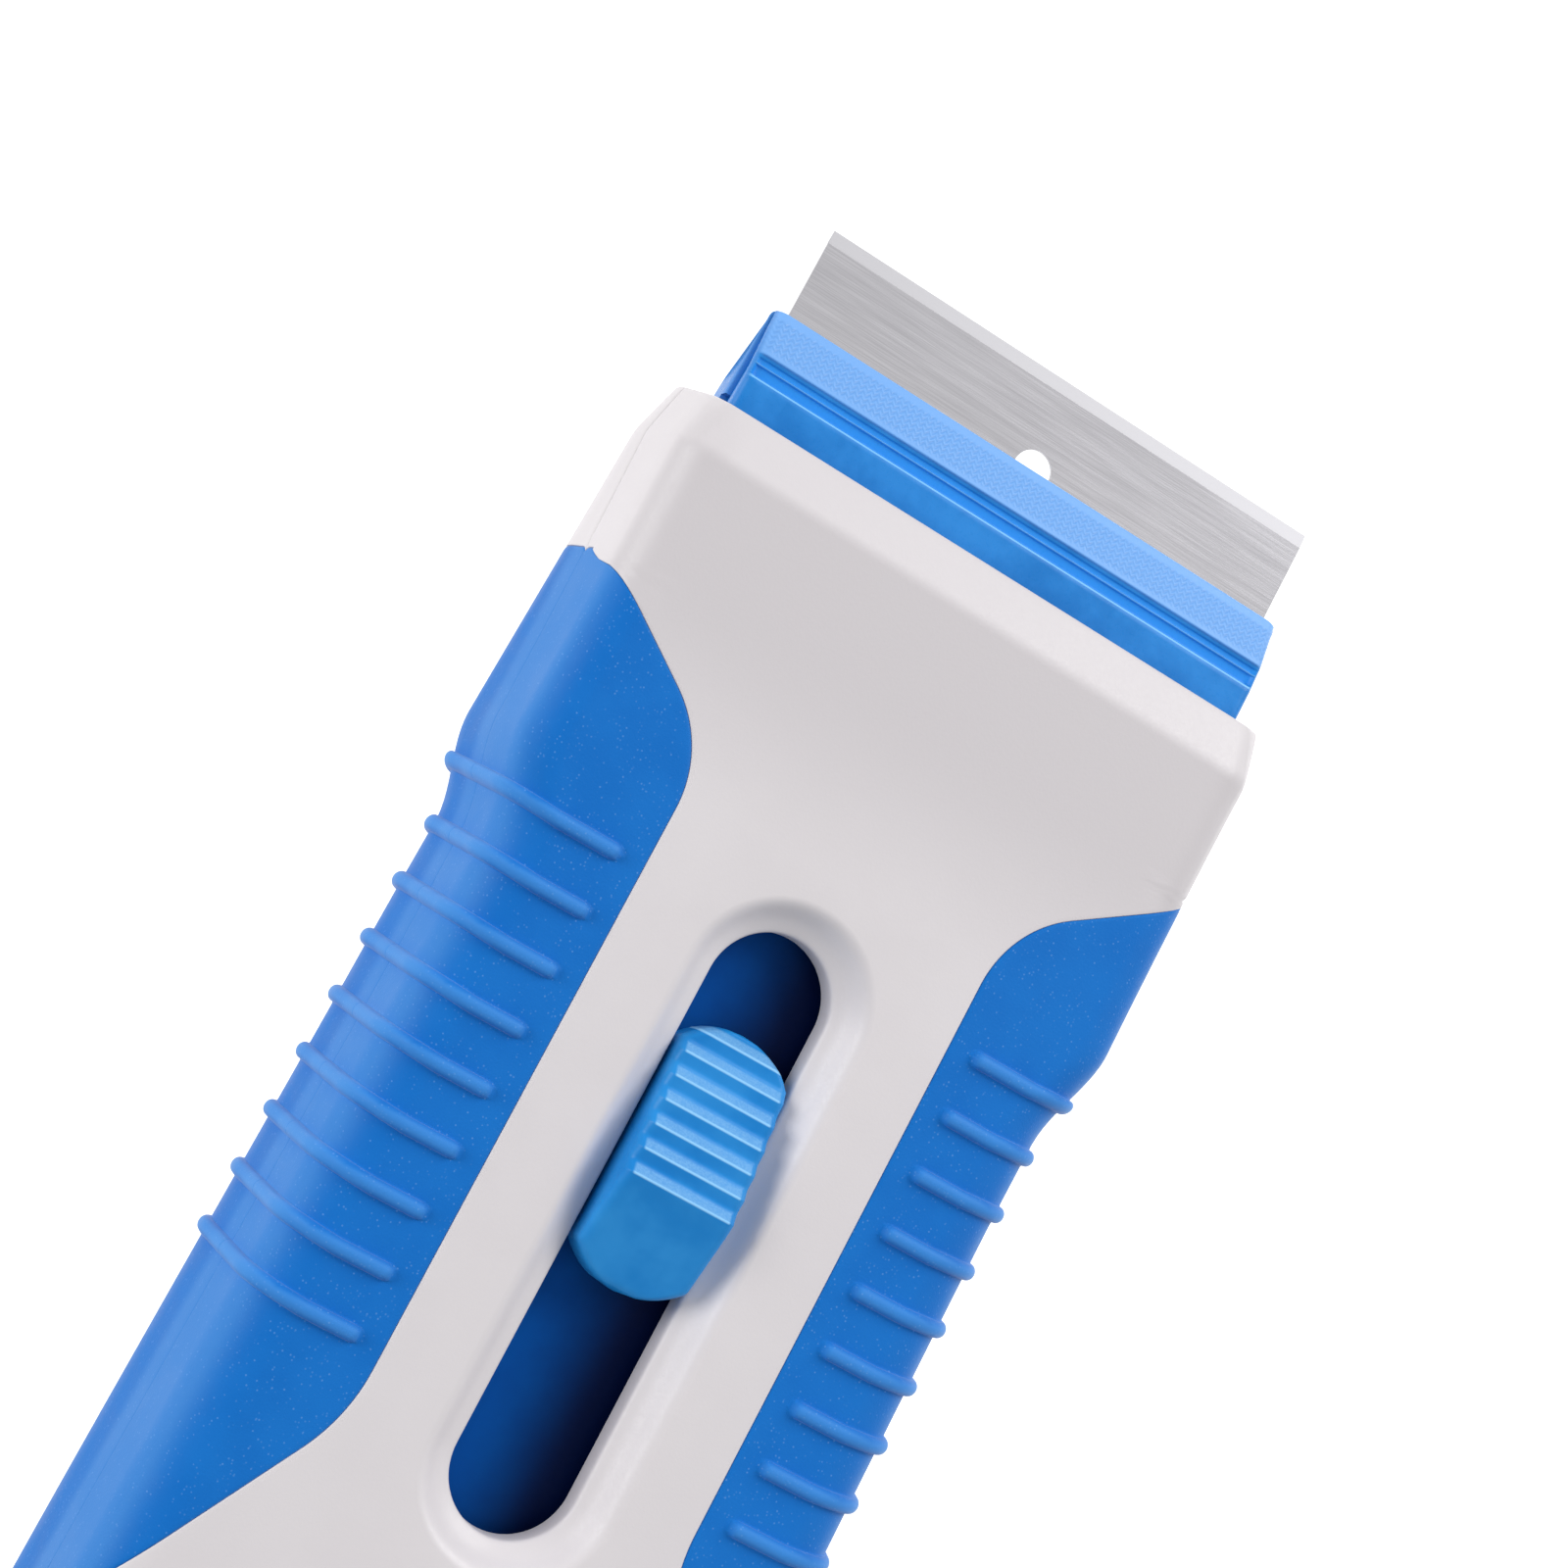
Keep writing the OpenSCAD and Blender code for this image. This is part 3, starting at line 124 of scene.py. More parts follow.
def makePiece(name, skin, body, material, nodes, sharp=38):
    mesh = bpy.data.meshes.new(name)
    mesh.from_pydata([(x * mm, y * mm, z * mm) for x, y, z in skin["points"]], [], skin["faces"])
    bm = bmesh.new()
    bm.from_mesh(mesh)
    bm.verts.ensure_lookup_table()
    for loops in skin["fills"]:
        edges = []
        for loop in loops:
            for i, j in zip(loop, loop[1:] + loop[:1]):
                pair = (bm.verts[i], bm.verts[j])
                edges.append(bm.edges.get(pair) or bm.edges.new(pair))
        bmesh.ops.triangle_fill(bm, edges=edges, use_beauty=True)
    bmesh.ops.remove_doubles(bm, verts=bm.verts, dist=weld)
    bmesh.ops.dissolve_degenerate(bm, edges=bm.edges, dist=weld)
    bmesh.ops.recalc_face_normals(bm, faces=bm.faces)
    bm.to_mesh(mesh)
    bm.free()
    mesh.polygons.foreach_set("use_smooth", [True] * len(mesh.polygons))
    mesh.set_sharp_from_angle(angle=math.radians(sharp))
    mesh.materials.append(material)
    piece = bpy.data.objects.new(name, mesh)
    scene.collection.objects.link(piece)
    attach(piece, body)
    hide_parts(*nodes)
    print("made", name, len(mesh.polygons), "faces")
    return piece


# helpers for materials

def addNode(tree, kind, links=None, **values):
    node = tree.nodes.new(kind)
    for key, value in values.items():
        if key in node.inputs:
            node.inputs[key].default_value = value
        else:
            setattr(node, key, value)
    for key, source in (links or {}).items():
        tree.links.new(source, node.inputs[key])
    return node


def mathNode(tree, operation, a, b=None):
    node = tree.nodes.new("ShaderNodeMath")
    node.operation = operation
    for place, value in ((0, a), (1, b)):
        if value is None:
            continue
        if isinstance(value, (int, float)):
            node.inputs[place].default_value = value
        else:
            tree.links.new(value, node.inputs[place])
    return node.outputs[0]


def times(tree, a, b):
    return mathNode(tree, "MULTIPLY", a, b)


def rangeNode(tree, value, low, high, first=0.0, last=1.0):
    node = addNode(tree, "ShaderNodeMapRange", interpolation_type="SMOOTHSTEP")
    tree.links.new(value, node.inputs["Value"])
    for key, limit in (("From Min", low), ("From Max", high), ("To Min", first), ("To Max", last)):
        node.inputs[key].default_value = limit
    return node.outputs["Result"]


def mixColours(tree, factor, a, b):
    node = tree.nodes.new("ShaderNodeMix")
    node.data_type = "RGBA"
    tree.links.new(factor, node.inputs["Factor"])
    for place, value in (("A", a), ("B", b)):
        socket = [s for s in node.inputs if s.name == place and s.type == "RGBA"][0]
        if isinstance(value, tuple):
            socket.default_value = (*value, 1.0)
        else:
            tree.links.new(value, socket)
    return [s for s in node.outputs if s.type == "RGBA"][0]


def newGroup(name, inputs, outputs):
    group = bpy.data.node_groups.new(name, "ShaderNodeTree")
    for label, kind, value in inputs:
        socket = group.interface.new_socket(label, in_out="INPUT", socket_type=kind)
        if value is not None:
            socket.default_value = value
    for label, kind in outputs:
        group.interface.new_socket(label, in_out="OUTPUT", socket_type=kind)
    return group, group.nodes.new("NodeGroupInput").outputs, group.nodes.new("NodeGroupOutput").inputs


number, vector = "NodeSocketFloat", "NodeSocketVector"
noiseSpan = (0.3, 0.7)  # the values that a noise mostly takes


def makeMouldGrain():
    # fine sparked skin and slow cloudiness of moulded plastic, sizes in millimetres
    group, given, out = newGroup(
        "mouldGrain",
        [("Vector", vector, None), ("Grain", number, 0.2), ("Cloud", number, 6.0)],
        [("Height", number), ("Clouds", number)])
    place = addNode(group, "ShaderNodeVectorMath", operation="SCALE", Scale=perMetre)
    group.links.new(given["Vector"], place.inputs[0])
    for size, label, detail in (("Grain", "Height", 2.0), ("Cloud", "Clouds", 3.0)):
        noise = addNode(group, "ShaderNodeTexNoise", Detail=detail, Roughness=0.6)
        group.links.new(place.outputs[0], noise.inputs["Vector"])
        group.links.new(mathNode(group, "DIVIDE", 1.0, given[size]), noise.inputs["Scale"])
        group.links.new(noise.outputs["Fac"], out[label])
    return group


def makeSpecks():
    # sparse small spots: a share of the cells of this size holds one
    group, given, out = newGroup(
        "specks",
        [("Vector", vector, None), ("Cell", number, 1.0), ("Radius", number, 0.15), ("Share", number, 0.1)],
        [("Mask", number), ("Tone", number)])
    place = addNode(group, "ShaderNodeVectorMath", operation="SCALE", Scale=perMetre)
    group.links.new(given["Vector"], place.inputs[0])
    cells = addNode(group, "ShaderNodeTexVoronoi", Randomness=1.0)
    group.links.new(place.outputs[0], cells.inputs["Vector"])
    group.links.new(mathNode(group, "DIVIDE", 1.0, given["Cell"]), cells.inputs["Scale"])
    split = addNode(group, "ShaderNodeSeparateColor", links={"Color": cells.outputs["Color"]})
    chosen = mathNode(group, "LESS_THAN", split.outputs["Red"], given["Share"])
    away = mathNode(group, "DIVIDE", cells.outputs["Distance"], given["Radius"])
    near = mathNode(group, "MAXIMUM", mathNode(group, "SUBTRACT", 1.0, away), 0.0)
    soft = times(group, near, 2.5)  # full over the inner part of the spot
    group.links.new(times(group, mathNode(group, "MINIMUM", soft, 1.0), chosen), out["Mask"])
    group.links.new(split.outputs["Green"], out["Tone"])
    return group


def makeBrushedLines():
    # long fine scratches along X and broader streaks, for rolled and brushed steel
    group, given, out = newGroup(
        "brushedLines",
        [("Vector", vector, None), ("Length", number, 6.0), ("Width", number, 0.08)],
        [("Lines", number), ("Streaks", number)])
    split = addNode(group, "ShaderNodeSeparateXYZ", links={"Vector": given["Vector"]})
    for label, wide, long in (("Lines", 1.0, 1.0), ("Streaks", 6.0, 2.5)):
        stretched = {}
        for axis, size, more in (("X", "Length", long), ("Y", "Width", wide)):
            way = times(group, split.outputs[axis], perMetre / more)
            stretched[axis] = mathNode(group, "DIVIDE", way, given[size])
        place = addNode(group, "ShaderNodeCombineXYZ", links=stretched).outputs[0]
        noise = addNode(group, "ShaderNodeTexNoise", links={"Vector": place}, Scale=1.0, Detail=2.0)
        group.links.new(noise.outputs["Fac"], out[label])
    return group


mouldGrain, specks, brushedLines = makeMouldGrain(), makeSpecks(), makeBrushedLines()


def newFinish(name, **values):
    # a material with its shader and the place on the piece
    finish = bpy.data.materials.new(name)
    finish.use_nodes = True
    tree = finish.node_tree
    tree.nodes.clear()
    shader = addNode(tree, "ShaderNodeBsdfPrincipled", **values)
    out = tree.nodes.new("ShaderNodeOutputMaterial")
    tree.links.new(shader.outputs[0], out.inputs["Surface"])
    place = tree.nodes.new("ShaderNodeTexCoord").outputs["Object"]
    return finish, tree, shader, place


def useGroup(tree, group, place, **values):
    node = tree.nodes.new("ShaderNodeGroup")
    node.node_tree = group
    tree.links.new(place, node.inputs["Vector"])
    for key, value in values.items():
        node.inputs[key].default_value = value
    return node.outputs


def addBump(tree, shader, height, depth, before=None):
    bump = addNode(tree, "ShaderNodeBump", links={"Height": height}, Strength=1.0, Distance=depth * mm)
    if before is not None:
        tree.links.new(before, bump.inputs["Normal"])
    tree.links.new(bump.outputs[0], shader.inputs["Normal"])
    return bump.outputs[0]


# finishes; the button's and the grips' sizes stand first, because their finishes follow them too

button = {
    "front": 21.55, "rear": 3.55, "half": 4.05, "endRound": 5.2, "low": 13.5, "frontTop": 15.0, "crest": 18.4,
    "rearTop": 16.0, "steps": 7, "pitch": 1.65, "depth": 0.5, "lean": 0.45, "swell": 1.35, "start": 0.3,
    "edgeRound": 0.6, "edgeShare": 0.7, "edgeRun": 0.6, "rootSoft": 0.24, "crestSoft": 0.07, "endSoft": 0.5,
    "finest": 0.25, "stemHalf": 1.95, "stemLow": 7.3, "stemIn": 0.2, "middle": 12.55,
}
grip = {
    "edgeX": 11.7, "frontY": 31.7, "frontR": 8.0, "frontAngle": 56.5,
    "rearY": -7.4, "rearR": 12.0, "rearAngle": 30.0, "leastStrip": 2.0, "tipStrip": 1.0, "tipStart": 1.2,
    "ribCount": 9, "ribFirst": 27.4, "ribPitch": 4.17, "ribHeight": 0.545, "ribHalf": 0.57,
    "ribFoot": 0.12, "footHeight": 0.04, "ribReach": 1.2, "ribPower": 0.9,
    "ribEndX": 14.05, "ribBackAngle": 52.0, "ribSlant": 1.15, "slantFront": (31.4, 28.4),
    "slantRear": (-10.8, -6.8), "slantBelow": 1.5, "slantFade": 3.0,
    "notch": 0.28, "notchWide": 0.45, "notchLong": 3.5, "gap": 0.012, "seamGap": 0.005, "seamFrom": 0.20,
}
whiteLook = {
    "light": (0.735, 0.702, 0.722), "dark": (0.720, 0.686, 0.706), "mark": (0.36, 0.27, 0.21),
    # panel: painted shade over the flat top of the head
    "panelShade": (0.622, 0.590, 0.610), "panelAt": (31.0, 45.0), "panelEnd": (52.1, 52.9), "panelLeft": 0.55,
    "panelUp": (14.6, 15.6), "cloudSpan": (0.35, 0.65), "rough": (0.36, 0.48),
    "grain": {"Grain": 0.22, "Cloud": 9.0}, "grainDepth": 0.006,
    "spots": {"Cell": 7.0, "Radius": 0.035, "Share": 0.35}, "spotShare": 0.55,
}
gripLook = {
    "light": (0.004, 0.172, 0.600), "dark": (0.002, 0.155, 0.565), "mark": (0.22, 0.45, 0.85), "shine": 0.13,
    "sheen": {"Sheen Weight": 0.30, "Sheen Roughness": 0.45, "Sheen Tint": (0.70, 0.84, 1.0, 1.0)},
    # side: painted sheen on the grips' curved sides, stronger on the left
    "side": (0.038, 0.225, 0.645), "sideSheenAt": (9.0, 15.85), "sideSheenSoft": 0.7,
    "sideSheenAcross": (-5.0, 5.0), "sideSheenShares": (1.0, 0.5), "rough": (0.46, 0.60),
    # rib: painted highlight on the ribs' crests
    "rib": (0.070, 0.310, 0.790), "ribShare": 0.55, "ribCrest": (0.20, 0.60), "ribEndSoft": 0.7,
    "leanFrom": 17.0, "leanPower": 0.6, "leanRate": 0.285, "rowEnds": 0.4, "rowSoft": 0.05,
    "grain": {"Grain": 0.16, "Cloud": 5.0}, "grainDepth": 0.016,
    "spots": {"Cell": 0.25, "Radius": 0.30, "Share": 0.45}, "spotShare": 0.34,
}
jawLines = (  # from, to, tint, soft edge and share
    # the groove tint is painted light that lifts the shade in the grooves
    (59.74, 60.08, "groove", 0.07, 1.0), (58.88, 59.58, "groove", 0.06, 1.0),
    # the edge tint is a painted highlight along the ridges
    (58.62, 58.80, "edge", 0.04, 1.0), (59.60, 59.71, "edge", 0.04, 0.45),
)
jawLook = {
    "light": (0.024, 0.258, 0.725), "dark": (0.008, 0.190, 0.590), "rough": (0.26, 0.36), "shine": 0.22,
    # land: painted light on the front part of the holder's top
    "land": (0.192, 0.440, 0.900), "landFrom": 60.38, "landSoft": 0.16, "topLow": 12.45, "topSoft": 0.05,
    # groove: painted light in the grooves; edge: painted highlight along the edges
    "groove": (0.022, 0.290, 0.840), "edge": (0.210, 0.560, 1.000), "plainEnd": 20.25, "plainSoft": 0.25,
    # end: painted light on the holder's ends
    "end": (0.062, 0.255, 0.670), "endLightAt": (20.15, 20.50),
    # weave: painted shade in the low rows of the pressed zigzag
    "weaveShade": (0.120, 0.330, 0.760), "rowPitch": 0.40, "wave": 0.52, "tilt": 0.5, "weaveDepth": 0.014,
    "weaveAt": (60.75, 63.10), "weaveSoft": 0.15, "weaveSpan": (-1.2, 1.0), "weaveShare": 0.55,
}
buttonLook = {
    "light": (0.022, 0.285, 0.720), "dark": (0.006, 0.225, 0.640), "rough": (0.30, 0.42), "shine": 0.22,
    # tread: painted sheen on the treads, broken up by a speckle
    "paintedTreadSheen": (0.170, 0.440, 0.800), "treadFrom": 0.08, "treadSoft": 0.06, "speckleLeast": 0.55,
    "speckle": {"Grain": 0.14, "Cloud": 3.0}, "plainEdge": 3.55, "plainSoft": 0.1, "rowSoft": 0.02,
    # edge: painted highlight on the crest of each step
    "edge": (0.270, 0.600, 0.950), "edgeHalf": 0.05, "edgeSoft": 0.03,
}
carriageLook = {
    # the carriage's blues are a deeper plastic and partly painted shade of the deep slot; the shade colour is
    # painted shade falling off to one side
    "light": (0.001, 0.090, 0.400), "dark": (0.001, 0.075, 0.350), "rough": (0.40, 0.52), "shine": 0.06,
    "shade": (0.0005, 0.006, 0.045), "shadeAt": (-3.4, 3.4),
}
bladeLook = {
    "light": (0.47, 0.463, 0.485), "dark": (0.40, 0.394, 0.415), "band": (0.355, 0.351, 0.367),
    "bandFrom": 69.36, "bandSoft": 0.06, "rough": (0.20, 0.26), "bandRough": 0.50,
    "lines": {"Length": 5.0, "Width": 0.07}, "depth": 0.0010,
}
steelLook = {
    "light": (0.62, 0.61, 0.60), "dark": (0.46, 0.45, 0.45), "rough": (0.24, 0.38), "cloud": 1.5,
    "screwGrain": 0.25, "springGrain": 0.12,
}
blueGrain = {"Grain": 0.3, "Cloud": 4.0}
fineDepth = 0.004  # relief of the blue plastic's and the turned steel's grain


def placeOn(tree, place):
    # distances on the piece in millimetres: across, along and up
    split = addNode(tree, "ShaderNodeSeparateXYZ", links={"Vector": place})
    return [times(tree, split.outputs[axis], perMetre) for axis in ("X", "Y", "Z")]


def edgeMask(tree, value, at, soft, first=0.0, last=1.0):
    return rangeNode(tree, value, at - soft, at + soft, first, last)


def bandMask(tree, value, low, high, soft):
    return times(tree, edgeMask(tree, value, low, soft), edgeMask(tree, value, high, soft, 1.0, 0.0))


def addSpecks(tree, place, look, colour):
    spot = useGroup(tree, specks, place, **look["spots"])
    faint = times(tree, spot["Mask"], times(tree, spot["Tone"], look["spotShare"]))
    return mixColours(tree, faint, colour, look["mark"])


def makeWhitePlastic(look):
    finish, tree, shader, place = newFinish("whitePlastic")
    grain = useGroup(tree, mouldGrain, place, **look["grain"])
    clouds = rangeNode(tree, grain["Clouds"], *look["cloudSpan"])
    colour = mixColours(tree, clouds, look["dark"], look["light"])
    along, up = placeOn(tree, place)[1:]
    # painted shade: the flat top of the head is a little darker, up to its bevel
    bevel = rangeNode(tree, along, *look["panelEnd"], 1.0, look["panelLeft"])
    panelShade = times(tree, rangeNode(tree, along, *look["panelAt"]), bevel)
    panelShade = times(tree, panelShade, rangeNode(tree, up, *look["panelUp"]))
    colour = addSpecks(tree, place, look, mixColours(tree, panelShade, colour, look["panelShade"]))
    tree.links.new(colour, shader.inputs["Base Color"])
    tree.links.new(rangeNode(tree, grain["Height"], *noiseSpan, *look["rough"]), shader.inputs["Roughness"])
    addBump(tree, shader, grain["Height"], look["grainDepth"])
    return finish


def ribHighlightMask(tree, across, along, up, look):
    # painted highlight on the crests of the ribs, which lean forward as they go down the side
    down = mathNode(tree, "MAXIMUM", mathNode(tree, "SUBTRACT", look["leanFrom"], up), 0.0)
    slant = times(tree, mathNode(tree, "POWER", down, look["leanPower"]), look["leanRate"])
    slant = mathNode(tree, "MINIMUM", slant, grip["ribSlant"])
    way = mathNode(tree, "SUBTRACT", mathNode(tree, "ADD", slant, grip["ribFirst"]), along)
    phase = mathNode(tree, "DIVIDE", way, grip["ribPitch"])
    off = mathNode(tree, "SUBTRACT", mathNode(tree, "FRACT", mathNode(tree, "ADD", phase, 0.5)), 0.5)
    away = times(tree, mathNode(tree, "ABSOLUTE", off), grip["ribPitch"])
    crest = rangeNode(tree, away, *look["ribCrest"], look["ribShare"], 0.0)
    lastRib = grip["ribCount"] - 1
    inRow = bandMask(tree, phase, -look["rowEnds"], lastRib + look["rowEnds"], look["rowSoft"])
    aside, end = mathNode(tree, "ABSOLUTE", across), grip["ribEndX"]
    beside = rangeNode(tree, aside, end - look["ribEndSoft"], end)
    return times(tree, times(tree, crest, inRow), beside)


def makeGripRubber(look):
    shine = {"Specular IOR Level": look["shine"], **look["sheen"]}
    finish, tree, shader, place = newFinish("gripRubber", **shine)
    grain = useGroup(tree, mouldGrain, place, **look["grain"])
    colour = mixColours(tree, rangeNode(tree, grain["Clouds"], *noiseSpan), look["dark"], look["light"])
    across, along, up = placeOn(tree, place)
    # painted sheen: the side is paler, more so on the left
    oneSide = rangeNode(tree, across, *look["sideSheenAcross"], *look["sideSheenShares"])
    paintedSideSheen = times(tree, bandMask(tree, up, *look["sideSheenAt"], look["sideSheenSoft"]), oneSide)
    colour = mixColours(tree, paintedSideSheen, colour, look["side"])
    # painted highlight on the ribs' crests
    colour = mixColours(tree, ribHighlightMask(tree, across, along, up, look), colour, look["rib"])
    tree.links.new(addSpecks(tree, place, look, colour), shader.inputs["Base Color"])
    tree.links.new(rangeNode(tree, grain["Clouds"], *noiseSpan, *look["rough"]), shader.inputs["Roughness"])
    addBump(tree, shader, grain["Height"], look["grainDepth"])
    return finish


# zones of the blue pieces, mostly painted light and shade: each function gives their colour and the height of
# a relief, if there is one

def jawZones(tree, place, look, colour):
    # painted light on the land, with painted shade in the low rows of its pressed zigzag, grooves painted
    # lighter against their shade and painted highlights on the edges, on the holder's top; painted light on
    # its ends
    across, along, up = placeOn(tree, place)
    aside = mathNode(tree, "ABSOLUTE", across)
    top = edgeMask(tree, up, look["topLow"], look["topSoft"])
    inner = times(tree, top, edgeMask(tree, aside, look["plainEnd"], look["plainSoft"], 1.0, 0.0))
    # painted light on the land
    land = edgeMask(tree, along, look["landFrom"], look["landSoft"])
    colour = mixColours(tree, times(tree, land, top), colour, look["land"])
    # painted light in the grooves and painted highlights along the edges
    for low, high, tint, soft, share in jawLines:
        line = times(tree, bandMask(tree, along, low, high, soft), inner)
        colour = mixColours(tree, times(tree, line, share), colour, look[tint])
    # painted light on the ends
    colour = mixColours(tree, rangeNode(tree, aside, *look["endLightAt"]), colour, look["end"])
    zigzag = mathNode(tree, "PINGPONG", across, look["wave"] / 2)
    phase = mathNode(tree, "DIVIDE", mathNode(tree, "ADD", along, zigzag), look["rowPitch"])
    rows = mathNode(tree, "SINE", times(tree, phase, 2 * math.pi))
    tilt = mathNode(tree, "SINE", times(tree, across, 2 * math.pi / look["wave"]))
    woven = mathNode(tree, "ADD", rows, times(tree, tilt, look["tilt"]))
    mask = times(tree, bandMask(tree, along, *look["weaveAt"], look["weaveSoft"]), inner)
    # painted shade in the zigzag's low rows
    low = times(tree, rangeNode(tree, woven, *look["weaveSpan"], look["weaveShare"], 0.0), mask)
    return mixColours(tree, low, colour, look["weaveShade"]), times(tree, woven, mask)


def buttonZones(tree, place, look, colour):
    # painted sheen on the treads, speckled, and painted highlights on the steps' edges
    across, along = placeOn(tree, place)[:2]
    way = mathNode(tree, "SUBTRACT", button["front"] - button["start"], along)
    phase = mathNode(tree, "DIVIDE", way, button["pitch"])
    share = mathNode(tree, "FRACT", phase)
    stepped = bandMask(tree, phase, 0.0, button["steps"], look["rowSoft"])
    aside = mathNode(tree, "ABSOLUTE", across)
    inner = times(tree, edgeMask(tree, aside, look["plainEdge"], look["plainSoft"], 1.0, 0.0), stepped)
    speck = useGroup(tree, mouldGrain, place, **look["speckle"])
    crest = button["lean"]
    # painted sheen on the treads
    paintedTreadSheen = times(tree, bandMask(tree, share, look["treadFrom"], crest, look["treadSoft"]), inner)
    paintedTreadSheen = times(tree, paintedTreadSheen, rangeNode(tree, speck["Height"], *noiseSpan, look["speckleLeast"], 1.0))
    colour = mixColours(tree, paintedTreadSheen, colour, look["paintedTreadSheen"])
    # painted highlight along each crest
    near = look["edgeHalf"]
    edge = times(tree, bandMask(tree, share, crest - near, crest + near, look["edgeSoft"]), inner)
    return mixColours(tree, edge, colour, look["edge"]), None


def carriageZones(tree, place, look, colour):
    # painted shade: deep in the slot its tone falls off to one side
    across = placeOn(tree, place)[0]
    return mixColours(tree, rangeNode(tree, across, *look["shadeAt"]), colour, look["shade"]), None


def makeBluePlastic(name, look, zones):
    finish, tree, shader, place = newFinish(name, **{"Specular IOR Level": look["shine"]})
    grain = useGroup(tree, mouldGrain, place, **blueGrain)
    colour = mixColours(tree, rangeNode(tree, grain["Clouds"], *noiseSpan), look["dark"], look["light"])
    tree.links.new(rangeNode(tree, grain["Height"], *noiseSpan, *look["rough"]), shader.inputs["Roughness"])
    normal = addBump(tree, shader, grain["Height"], fineDepth)
    colour, relief = zones(tree, place, look, colour)
    if relief is not None:
        addBump(tree, shader, relief, look["weaveDepth"], normal)
    tree.links.new(colour, shader.inputs["Base Color"])
    return finish


def makeBladeSteel(look):
    finish, tree, shader, place = newFinish("bladeSteel", Metallic=1.0)
    lines = useGroup(tree, brushedLines, place, **look["lines"])
    colour = mixColours(tree, rangeNode(tree, lines["Lines"], *noiseSpan), look["dark"], look["light"])
    # the ground edge
    along = placeOn(tree, place)[1]
    band = rangeNode(tree, along, look["bandFrom"], look["bandFrom"] + look["bandSoft"])
    tree.links.new(mixColours(tree, band, colour, look["band"]), shader.inputs["Base Color"])
    rough = rangeNode(tree, lines["Streaks"], *noiseSpan, *look["rough"])
    more = times(tree, mathNode(tree, "SUBTRACT", look["bandRough"], rough), band)
    tree.links.new(mathNode(tree, "ADD", rough, more), shader.inputs["Roughness"])
    addBump(tree, shader, lines["Lines"], look["depth"])
    return finish


def makeTurnedSteel(name, look, grain):
    finish, tree, shader, place = newFinish(name, Metallic=1.0)
    skin = useGroup(tree, mouldGrain, place, Grain=grain, Cloud=look["cloud"])
    colour = mixColours(tree, rangeNode(tree, skin["Clouds"], *noiseSpan), look["dark"], look["light"])
    tree.links.new(colour, shader.inputs["Base Color"])
    tree.links.new(rangeNode(tree, skin["Height"], *noiseSpan, *look["rough"]), shader.inputs["Roughness"])
    addBump(tree, shader, skin["Height"], fineDepth)
    return finish


whitePlastic = makeWhitePlastic(whiteLook)
gripRubber = makeGripRubber(gripLook)
jawPlastic = makeBluePlastic("jawPlastic", jawLook, jawZones)
buttonPlastic = makeBluePlastic("buttonPlastic", buttonLook, buttonZones)
carriagePlastic = makeBluePlastic("carriagePlastic", carriageLook, carriageZones)
bladeSteel = makeBladeSteel(bladeLook)
screwSteel = makeTurnedSteel("screwSteel", steelLook, steelLook["screwGrain"])
springSteel = makeTurnedSteel("springSteel", steelLook, steelLook["springGrain"])
print("finishes made")


# the handle's form, by the rules of its solids, with a lower seam and a finer head

handle = {
    "mouth": 56.0, "tail": -56.0, "top": 17.0, "seam": 10.8,
    "headHalf": 24.1, "handleHalf": 22.6, "tailHalf": 23.1, "tailEndHalf": 7.5,
    "shoulder": 32.0, "waist": 24.5, "topRound": 4.0, "headRound": 3.0, "noseRound": 1.8,
    "headBackRound": 4.5, "backRound": 6.0, "lean": 12.0, "headLean": 9.6, "noseLean": 15.5,
    "tailRound": 20.0, "tailBack": 16.0, "tailBackRise": 7.0, "tailTop": 9.0, "tailTopDrop": 2.5,
    "noseLen": 3.6, "noseDrop": 1.5, "noseTaper": 1.0, "noseSlant": 0.11, "noseSoft": 0.55, "noseRise": 5.2,
    "riseFrom": 16.0, "riseBlend": 12.0, "planPower": 2.6, "crownPower": 2.2,
    "noseRoundFrom": 50.0, "topMost": 0.4, "backMost": 0.5,
    "slantFrom": 48.0, "slantTop": 15.5, "slantDeep": 7.0,
}


def ease(a, b, t):
    u = min(1.0, max(0.0, (t - a) / (b - a)))
    return u * u * (3.0 - 2.0 * u)


def dome(v, power):
    return 1.0 if v <= 0 else 0.0 if v >= 1 else (1.0 - v ** power) ** (1.0 / power)


def noseRun(y):
    # way down the bevel, with its edge softened
    h = handle
    t, soft = y - (h["mouth"] - h["noseLen"]), h["noseSoft"]
    run = 0.0 if t <= -soft else t if t >= soft else (t + soft) ** 2 / (4 * soft)
    return run / h["noseLen"]


def halfWidth(y):
    h = handle
    turn = h["tail"] + h["tailRound"]
    full = h["handleHalf"] + (h["headHalf"] - h["handleHalf"]) * ease(h["waist"], h["shoulder"], y)
    full += (h["tailHalf"] - h["handleHalf"]) * (1 - ease(turn, h["waist"], y)) - h["noseTaper"] * noseRun(y)
    return h["tailEndHalf"] + (full - h["tailEndHalf"]) * dome((turn - y) / h["tailRound"], h["planPower"])


def topZ(y):
    h = handle
    fall = h["tailTopDrop"] * (1 - dome((h["tail"] + h["tailTop"] - y) / h["tailTop"], h["crownPower"]))
    return h["top"] - h["noseDrop"] * noseRun(y) - fall


def bottomZ(y):
    h = handle
    blend = h["riseBlend"]
    slope = h["noseRise"] / (h["mouth"] - h["riseFrom"] - blend / 2)
    run = max(0.0, y - h["riseFrom"])
    rise = slope * run * run / (2 * blend) if run < blend else slope * (run - blend / 2)
    tail = 1 - dome((h["tail"] + h["tailBack"] - y) / h["tailBack"], h["crownPower"])
    return rise + h["tailBackRise"] * tail


